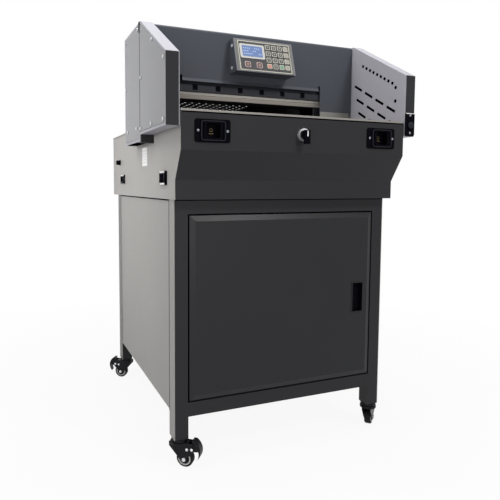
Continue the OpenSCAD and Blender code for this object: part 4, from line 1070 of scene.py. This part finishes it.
    def module_trim(self) -> None:
        """Screws and lens of the sensor module, and a white line along its top: a painted highlight."""
        low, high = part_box("wing_module")
        x, face = (low.x + high.x) / 2, low.y + self.module_face
        bottom, top = self.module_screw_in
        seats = [facing((x, face, z), (0, -1, 0)) for z in (low.z + bottom, high.z - top)]
        add_screws("module_screws", self.module_screw, seats, ZINC)
        lens = Shape().lathe(self.lens, steps=32)
        lens.place(facing((x, low.y, (low.z + high.z) / 2 - self.lens_down), (0, -1, 0)))
        make_piece("module_lens", lens, ABS_SATIN, ROOT)
        # White strip along the module's top edge: a painted highlight.
        line = Shape().plate(high.x - low.x - self.line_in, *self.line)
        line.place(move(x, face, high.z - self.line_down))
        make_piece("module_highlight_line", line, PLATE_FILM_AND_HIGHLIGHT, ROOT)


@dataclass
class SideFittings:
    """The plate on the left side of the base, the painted highlights on the lips of the switch and the inlet, and
    the screws of the inlet.

    The plate's form is its thickness, corner radius and edge radius, a rule is its height, thickness and
    corner radius, and a lip is how far it stands out, where it starts and half its height.
    """

    plate_at: Pair = (-0.065, 0.856)
    plate_size: Pair = (0.062, 0.057)
    plate_form: Sizes = (0.0006, 0.003, HAIR)
    rules: int = 5
    rule_in: float = 0.012
    rule: Sizes = (0.0009, 0.0001, 0.0003)
    rule_top: float = 0.018
    rule_step: float = 0.009
    lip_end: float = 0.012
    lip_deep: float = 0.002
    lip_edge: float = 0.0006
    switch_lip: Triple = (0.0012, 0.004, 0.0026)
    switch_lip_in: float = 0.003
    inlet_lip: Pair = (0.001, 0.003)
    inlet_lip_z: Pair = (0.0048, 0.0006)
    screw: Pair = (0.0036, 0.0012)
    screw_in: Pair = (0.004, 0.0022)

    def build(self) -> None:
        """Builds the plate, and the trim of the switch and the inlet."""
        self.blank_plate()
        self.lip_highlights()
        self.socket_screws()

    def blank_plate(self) -> None:
        """The white plate, bare apart from a few rules."""
        wide, high = self.plate_size
        seat = Matrix.Translation((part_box("base_side_left")[0].x, *self.plate_at)) @ turn(-90, "Z")
        plate = Shape().plate(wide, high, *self.plate_form)
        make_piece("blank_plate", plate.place(seat), PLATE_FILM_AND_HIGHLIGHT, ROOT)
        shape = Shape()
        for row in range(self.rules):
            drop = move(0, -self.plate_form[0], self.rule_top - row * self.rule_step)
            shape.take(Shape().plate(wide - self.rule_in, *self.rule, segments=2), seat @ drop)
        make_piece("plate_rules", shape, PLATE_RULE, ROOT)

    def lip_highlights(self) -> None:
        """White strips on the lips above and below the rocker, and on the one above the inlet: painted highlights
        on their edges.
        """
        shape = Shape()
        low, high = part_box("switch_frame")
        out, near, half = self.switch_lip
        for z in (low.z + self.switch_lip_in, high.z - self.switch_lip_in):
            shape.box((low.x - out, low.y + near, z - half),
                      (low.x + self.lip_deep, high.y - self.lip_end, z + half), self.lip_edge)
        low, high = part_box("power_inlet")
        (out, near), (under, over) = self.inlet_lip, self.inlet_lip_z
        shape.box((low.x - out, low.y + near, high.z - under),
                  (low.x + self.lip_deep, high.y - self.lip_end, high.z - over), self.lip_edge)
        make_piece("socket_lip_highlights", shape, PLATE_FILM_AND_HIGHLIGHT, ROOT)

    def socket_screws(self) -> None:
        """The screws that hold the power inlet."""
        low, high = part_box("power_inlet")
        (deep, end), z = self.screw_in, (low.z + high.z) / 2
        seats = [facing((low.x + deep, y, z), (-1, 0, 0)) for y in (low.y + end, high.y - end)]
        add_screws("inlet_screws", self.screw, seats, ZINC)


@dataclass
class CabinetTrim:
    """Painted shade lines under the base, the rubber seams, the rear corner strips painted darker as shade, and
    the painted shade round the door's gap.

    A pair named for an axis is how far a piece's two ends lie from the faces that they are measured from.
    """

    leg: float = 0.046
    shade_line_h: float = 0.0042
    shade_line_x: Pair = (0.0006, 0.0008)
    shade_line_y: Pair = (0.0008, 0.0004)
    shade_line_in: float = 0.001
    seam_w: float = 0.0034
    seam_x: Pair = (0.0004, 0.0005)
    side_low: float = 0.147
    strip_low: float = 0.001
    strip_in: float = 0.0005
    strip_edge: float = 0.0003
    edge_shade: Pair = (-0.0002, 0.0006)
    edge_shade_y: Pair = (0.0008, 0.001)
    gap: float = 0.003
    frame_shade_w: float = 0.0014
    frame_shade_y: Pair = (0.0003, 0.0005)
    rim_w: float = 0.003
    rim_form: Pair = (0.0004, 0.002)
    rim_sunk: float = 0.0002

    def build(self) -> None:
        """Builds the trim of both sides and of the front."""
        low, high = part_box("cabinet_side_left")[0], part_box("cabinet_side_right")[1]
        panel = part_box("front_frame")
        shade_lines, seams, strips = Shape(), Shape(), Shape()
        front, back, top = low.y + self.leg, high.y - self.leg, high.z
        (sunk, proud), (deep, out) = self.shade_line_x, self.seam_x
        for outer, face, way in ((low.x, panel[0].x, -1), (high.x, panel[1].x, 1)):
            # Black lines under the base on each side: painted shade of the gap under its edge.
            shade_lines.strip((face - way * sunk, front, top - self.shade_line_h), (face + way * proud, back, top))
            near, far = outer - way * deep, outer + way * out
            seams.strip((near, front - self.seam_w, self.side_low), (far, front, top))
            # Darker strips down the rear edges: painted shade of the rear legs.
            strips.box((near, back, low.z + self.strip_low),
                       (far, high.y - self.strip_in, top - self.strip_in), self.strip_edge, 1)
        # The same painted shade line under the base's front.
        inset, (proud, sunk) = self.shade_line_in, self.shade_line_y
        shade_lines.strip((panel[0].x + inset, panel[0].y - proud, top - self.shade_line_h + inset),
                      (panel[1].x - inset, panel[0].y + sunk, top))
        make_piece("base_shade_lines", shade_lines, SHADE_BLACK, ROOT)
        make_piece("side_seams", seams, RUBBER_TRIM, ROOT)
        make_piece("rear_corner_shade_strips", strips, STRIP_SHADE_GREY, ROOT)
        self.door_gap_shade(panel[0].y)
        self.pull_rim()

    def door_gap_shade(self, front: float) -> None:
        """Black strips on the door's edges and a black lip on its frame: painted shade that darkens the gap round
        the door.

        Args:
            front: where the face of the frame lies.
        """
        # Black strips on the door's edges: painted shade in the gap.
        near, far = front + self.edge_shade_y[0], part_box("door")[1].y - self.edge_shade_y[1]
        edge_shade = self.round_door(self.edge_shade, (0.0, 0.0), near, far)
        make_piece("door_edge_shade", edge_shade, SHADE_BLACK, "door")
        # A black lip round the frame's opening: painted shade of the gap.
        near, far, out = front - self.frame_shade_y[0], front + self.frame_shade_y[1], self.gap + self.frame_shade_w
        seal = self.round_door((self.gap, out), (self.gap, out), near, far)
        make_piece("door_frame_shade", seal, SHADE_BLACK, ROOT)

    def round_door(self, wall: Pair, reach: Pair, near: float, far: float) -> Shape:
        """Four bars round the door's edge.

        Args:
            wall: where a bar starts and ends outwards from the edge.
            reach: how far past the door's corners the level bars and the upright bars go.
            near: where the bars start along Y.
            far: where they end.

        Returns:
            The bars.
        """
        low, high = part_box("door")
        (inner, outer), (across, along) = wall, reach
        shape = Shape()
        for x, way in sides_of("door"):
            shape.strip((x + way * inner, near, low.z - along), (x + way * outer, far, high.z + along))
        for z, way in ((low.z, -1), (high.z, 1)):
            shape.strip((low.x - across, near, z + way * inner), (high.x + across, far, z + way * outer))
        return shape

    def pull_rim(self) -> None:
        """The painted rim round the mouth of the door pull."""
        low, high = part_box("door_pull")
        rim = Shape().ring(high.x - low.x, high.z - low.z, *self.rim_form, self.rim_w)
        rim.place(move((low.x + high.x) / 2, low.y + self.rim_sunk, (low.z + high.z) / 2))
        make_piece("pull_rim", rim, CHARCOAL, "door")


@dataclass
class CasterTrim:
    """Hubs, nuts and rivets of the four casters, each in a frame that trails from its swivel axis.

    A hub is its inner and outer radius, a nut its radius, height and edge radius.
    """

    trail: float = 0.019
    wheel_r: float = 0.024
    fork_half: float = 0.014
    rivets: Pairs = ((0.027, 0.052), (0.041, 0.0535))
    dome: Pairs = ((0.0, 0.0018), (0.002, 0.0015), (0.0036, 0.0006), (0.004, 0.0), (0.0, 0.0))
    hub: Pair = (0.0138, 0.0180)
    hub_side: float = 0.0098
    hub_slope: float = 0.0006
    hub_t: float = 0.0012
    nut: Triple = (0.0056, 0.0036, 0.0006)

    def build(self) -> None:
        """Builds the trim of each caster in its own frame."""
        for joint in frame["joints"]:
            if joint["name"].startswith("swivel_"):
                self.build_one(joint["name"].removeprefix("swivel_"), Vector(joint["pos_m"]))

    def build_one(self, place: str, pivot: Vector) -> None:
        """Builds one caster's trim.

        Args:
            place: the caster's short name.
            pivot: a point on its swivel axis.
        """
        roll = next(j for j in frame["joints"] if j["name"] == f"roll_{place}")
        axle = Vector(roll["axis"])
        ahead = axle.cross(Vector((0, 0, 1)))
        seat = move(pivot.x, pivot.y, 0) @ Matrix((
            (ahead.x, axle.x, 0, 0), (ahead.y, axle.y, 0, 0), (0, 0, 1, 0), (0, 0, 0, 1)))
        hubs, nuts, domes = Shape(), Shape(), Shape()
        (inner, outer), slope, top = self.hub, self.hub_slope, self.hub_t
        section = ((inner, 0.0), (inner + slope, top), (outer - slope, top), (outer, 0.0), (inner, 0.0))
        for side in SIDES:
            out, fork = (0, side, 0), side * self.fork_half
            hub = facing((self.trail, side * self.hub_side, self.wheel_r), out)
            hubs.take(Shape().lathe(section, steps=40), seat @ hub)
            nuts.take(Shape().prism(6, *self.nut), seat @ facing((self.trail, fork, self.wheel_r), out))
            for along, up in self.rivets:
                domes.take(Shape().lathe(self.dome, steps=16), seat @ facing((along, fork, up), out))
        make_piece(f"wheel_hubs_{place}", hubs, HUB_GREY, f"wheel_{place}")
        make_piece(f"caster_nuts_{place}", nuts, NICKEL, f"caster_{place}")
        make_piece(f"caster_rivets_{place}", domes, NICKEL, f"caster_{place}")


@dataclass
class ThroatTrim:
    """Trim of the throat: the blade's line, painted shade in the bolt notches, the lip of the head with its
    painted highlight, a painted shade line under the table, the guard's screen, and a flap put in for shade.
    """

    hone_in: float = 0.001
    hone_proud: float = 0.0002
    hone_z: Pair = (0.0094, 0.0108)
    bolts: int = 7
    bolt_r: float = 0.007
    # The painted notch shades: their width and height, how high they start, their place along Y, and their edge
    # radius.
    cover: Pair = (0.0158, 0.016)
    notch_shade_up: float = 0.0042
    notch_shade_y: Pair = (0.0008, 0.0002)
    notch_shade_edge: float = 0.0008
    lip: Triple = (-0.255, 0.213, 1.076)
    lip_h: float = 0.0095
    lip_out: float = 0.0045
    lip_sunk: float = 0.0005
    lip_thin: float = 0.0002
    lip_edge: float = 0.0008
    table_shade_h: float = 0.0028
    table_shade_in: float = 0.0005
    table_shade_y: Pair = (0.0006, 0.0004)
    table_shade_low: float = 0.0004
    table_shade_edge: float = 0.0003
    cells: tuple[int, int] = (13, 11)
    bar: float = 0.0104
    # The flap's two corners: a charcoal sheet that keeps the throat dark where light leaked through, put in for
    # shade.
    flap: tuple[Triple, Triple] = ((0.2205, 0.018, 0.9575), (0.2225, 0.045, 1.085))
    flap_edge: float = 0.0004

    def build(self) -> None:
        """Builds the blade's line, the notch shades, the lip, the shade line under the table, the sheet and the
        shade flap.
        """
        self.hone_line()
        self.bolt_notch_shades()
        self.head_lip()
        self.table_gap_shade()
        self.guard_sheet()
        # A sheet put in for shade where light leaked through the throat.
        make_piece("throat_shade_flap", Shape().box(*self.flap, self.flap_edge), CHARCOAL, ROOT)

    def hone_line(self) -> None:
        """The stained line along the lower part of the blade."""
        low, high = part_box("blade")
        strip = Shape().box((low.x + self.hone_in, low.y - self.hone_proud, low.z + self.hone_z[0]),
                            (high.x - self.hone_in, low.y, low.z + self.hone_z[1]))
        make_piece("blade_hone_line", strip, HONE_STAIN, "blade")

    def bolt_notch_shades(self) -> None:
        """Black blocks in the notches in front of the blade bolts: painted shade of the notches."""
        low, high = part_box("blade_bolts")
        front, (wide, tall), (sunk, air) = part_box("blade_carrier")[0], self.cover, self.notch_shade_y
        first, last = low.x + self.bolt_r, high.x - self.bolt_r
        bottom = front.z + self.notch_shade_up
        shape = Shape()
        for i in range(self.bolts):
            x = first + (last - first) * i / (self.bolts - 1)
            shape.box((x - wide / 2, front.y + sunk, bottom), (x + wide / 2, low.y - air, bottom + tall),
                      self.notch_shade_edge)
        make_piece("bolt_notch_shades", shape, ABS_BLACK_AND_SHADE, body_of("blade_carrier"))

    def head_lip(self) -> None:
        """The flared hem along the lower edge of the head."""
        left, right, low = self.lip
        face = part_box("throat_skirts")[0].y
        shape = Shape().box((left, face - self.lip_out, low), (right, face + self.lip_sunk, low + self.lip_h))
        upper = [v for v in shape.bm.verts if v.co.y < face and v.co.z > low + self.lip_h / 2]
        bmesh.ops.translate(shape.bm, vec=(0, self.lip_out - self.lip_thin, 0), verts=upper)
        nose = [e for e in shape.bm.edges if all(v.co.y < face - self.lip_out / 2 for v in e.verts)]
        shape.round_edges(nose, self.lip_edge)
        # The lighter coat paints a highlight along the hem.
        make_piece("head_lip", shape, LIP_HIGHLIGHT_COAT, ROOT)

    def table_gap_shade(self) -> None:
        """A black strip under the front edge of the table: painted shade of the gap there."""
        low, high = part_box("table")
        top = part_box("base_front_panel")[1].z
        proud, sunk = self.table_shade_y
        table_shade = Shape().box((low.x + self.table_shade_in, low.y - proud, top - self.table_shade_low),
                           (high.x - self.table_shade_in, low.y + sunk, top + self.table_shade_h), self.table_shade_edge)
        make_piece("table_gap_shade", table_shade, SHADE_BLACK, ROOT)

    def guard_sheet(self) -> None:
        """The pierced sheet in the roof of the rear guard."""
        node = "guard_screen"
        low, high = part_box(node)
        across, along = self.cells
        shape = Shape()
        bmesh.ops.create_grid(shape.bm, x_segments=across, y_segments=along, size=0.5)
        bmesh.ops.scale(shape.bm, vec=(high.x - low.x, high.y - low.y, 1), verts=shape.bm.verts)
        cells = list(shape.bm.faces)
        bmesh.ops.inset_individual(shape.bm, faces=cells, thickness=self.bar, use_even_offset=True)
        bmesh.ops.delete(shape.bm, geom=cells, context="FACES")
        sheet = list(shape.bm.faces)
        bmesh.ops.recalc_face_normals(shape.bm, faces=sheet)
        bmesh.ops.solidify(shape.bm, geom=sheet, thickness=high.z - low.z)
        shape.bm.normal_update()
        floor = min(v.co.z for v in shape.bm.verts)
        shape.place(move((low.x + high.x) / 2, (low.y + high.y) / 2, low.z - floor))
        piece = make_piece(f"{node}_skin", shape, CHARCOAL, body_of(node))
        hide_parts(node)


@dataclass(frozen=True)
class Lamp:
    """A soft square lamp: its place, the point it faces, its side, its power and its beam's spread."""

    name: str
    at: Triple
    aim: Triple
    size: float
    watts: float
    spread_deg: float = 180.0

    def build(self) -> None:
        """Hangs the lamp."""
        data = bpy.data.lights.new(self.name, "AREA")
        data.size, data.energy, data.spread = self.size, self.watts, math.radians(self.spread_deg)
        add_object(self.name, data).matrix_world = facing(self.at, Vector(self.at) - Vector(self.aim))


@dataclass
class Studio:
    """Pale floor, soft light and the camera."""

    eye: Triple = (-0.7298, -1.6333, 0.7682)
    yaw_deg: float = -21.877
    pitch_deg: float = 85.737
    roll_deg: float = 0.194
    sensor_mm: float = 36.0
    lens_mm: float = 36.84
    shift: Pair = (0.0663, -0.0528)
    clip: Pair = (0.05, 60.0)
    lamps: tuple[Lamp, ...] = (
        Lamp("top_light", (0.0, -0.1, 2.9), (0, 0, 0.95), 1.4, 41.0),
        Lamp("front_light", (1.0, -2.4, 2.7), (0, -0.3, 0.7), 0.62, 36.0),
        Lamp("left_light", (-1.5, -0.5, 2.4), (-0.3, 0, 0.7), 0.9, 16.0),
        Lamp("side_light", (-2.2, -0.1, 1.3), (-0.34, 0.2, 0.82), 0.8, 1.75, 44.0),
        Lamp("key_light", (-1.5, -2.5, 0.8), (0, -0.1, 0.75), 1.0, 12.0),
        Lamp("low_light", (0.3, -3.0, 0.3), (0, 0, 0.6), 1.8, 8.0))
    floor_half: float = 12.0
    floor_colour: str = "#e0e0e0"
    floor_roughness: float = 0.9
    floor_specular: float = 0.1
    fade_from: float = 0.5
    fade_to: float = 1.9
    fade_share: float = 0.92
    sky_colour: str = "#f6f8fb"
    sky_strength: float = 0.2

    def build(self) -> None:
        """Builds the studio."""
        self.camera()
        self.floor()
        self.world()
        for lamp in self.lamps:
            lamp.build()
        bpy.context.scene.view_settings.view_transform = "Standard"

    def camera(self) -> None:
        """The camera that took the photograph: its place, turn, lens and framing."""
        data = bpy.data.cameras.new("camera")
        data.sensor_width, data.lens = self.sensor_mm, self.lens_mm
        data.shift_x, data.shift_y = self.shift
        data.clip_start, data.clip_end = self.clip
        camera = add_object("camera", data)
        aim = turn(self.yaw_deg, "Z") @ turn(self.pitch_deg, "X") @ turn(self.roll_deg, "Z")
        camera.matrix_world = Matrix.Translation(self.eye) @ aim
        bpy.context.scene.camera = camera

    def ray_share(self, tree: bpy.types.NodeTree, *kinds: str) -> bpy.types.NodeSocket:
        """Finds out whether a ray is of one of some kinds.

        Args:
            tree: the node tree that gets the nodes.
            kinds: the kinds, as the light path names them.

        Returns:
            A socket that gives 1 for such a ray, else 0.
        """
        path = add_node(tree, "ShaderNodeLightPath")
        share = path.outputs[kinds[0]]
        for kind in kinds[1:]:
            either = add_node(tree, "ShaderNodeMath", {0: share, 1: path.outputs[kind]}, operation="MAXIMUM")
            share = either.outputs[0]
        return share

    def floor(self) -> None:
        """A pale floor that keeps the object's shadow and runs out into the background."""
        shape = Shape()
        bmesh.ops.create_grid(shape.bm, x_segments=1, y_segments=1, size=self.floor_half)
        ground = add_object("floor", shape.to_mesh("floor"))
        paper = bpy.data.materials.new("studio_paper")
        paper.use_nodes = True
        tree = paper.node_tree
        shader = tree.nodes["Principled BSDF"]
        shader.inputs["Base Color"].default_value = linear(self.floor_colour)
        shader.inputs["Roughness"].default_value = self.floor_roughness
        shader.inputs["Specular IOR Level"].default_value = self.floor_specular
        seen = self.ray_share(tree, "Is Camera Ray", "Is Glossy Ray")
        white = add_node(tree, "ShaderNodeEmission", values={"Color": WHITE, "Strength": 1.0})
        place = add_node(tree, "ShaderNodeTexCoord")
        away = add_node(tree, "ShaderNodeVectorMath", {0: place.outputs["Object"]}, operation="LENGTH")
        fade = add_node(tree, "ShaderNodeMapRange", {"Value": away.outputs["Value"]},
                        {"From Min": self.fade_from, "From Max": self.fade_to, "To Min": self.fade_share,
                         "To Max": 1.0})
        share = add_node(tree, "ShaderNodeMath", {0: seen, 1: fade.outputs["Result"]}, operation="MULTIPLY")
        blend = add_node(tree, "ShaderNodeMixShader",
                         {0: share.outputs[0], 1: shader.outputs["BSDF"], 2: white.outputs["Emission"]})
        tree.links.new(blend.outputs["Shader"], tree.nodes["Material Output"].inputs["Surface"])
        ground.data.materials.append(paper)

    def world(self) -> None:
        """A white surround for what looks at it, and a softer one for what it lights."""
        world = bpy.data.worlds.new("studio")
        world.use_nodes = True
        tree = world.node_tree
        seen = self.ray_share(tree, "Is Camera Ray", "Is Glossy Ray", "Is Transmission Ray")
        soft = tree.nodes["Background"]
        soft.inputs["Color"].default_value = linear(self.sky_colour)
        soft.inputs["Strength"].default_value = self.sky_strength
        white = add_node(tree, "ShaderNodeBackground", values={"Color": WHITE, "Strength": 1.0})
        blend = add_node(tree, "ShaderNodeMixShader",
                         {0: seen, 1: soft.outputs["Background"], 2: white.outputs["Background"]})
        tree.links.new(blend.outputs["Shader"], tree.nodes["World Output"].inputs["Surface"])
        bpy.context.scene.world = world


def main() -> None:
    """Builds the studio and every sub-assembly."""
    logging.basicConfig(level=logging.INFO)
    for part in (Studio(), Skins(), ControlPanel(), HandControls(), WingTrim(), SideFittings(), CabinetTrim(),
                 CasterTrim(), ThroatTrim()):
        part.build()
        log.info("%s done", type(part).__name__)


if __name__ == "__main__":
    main()
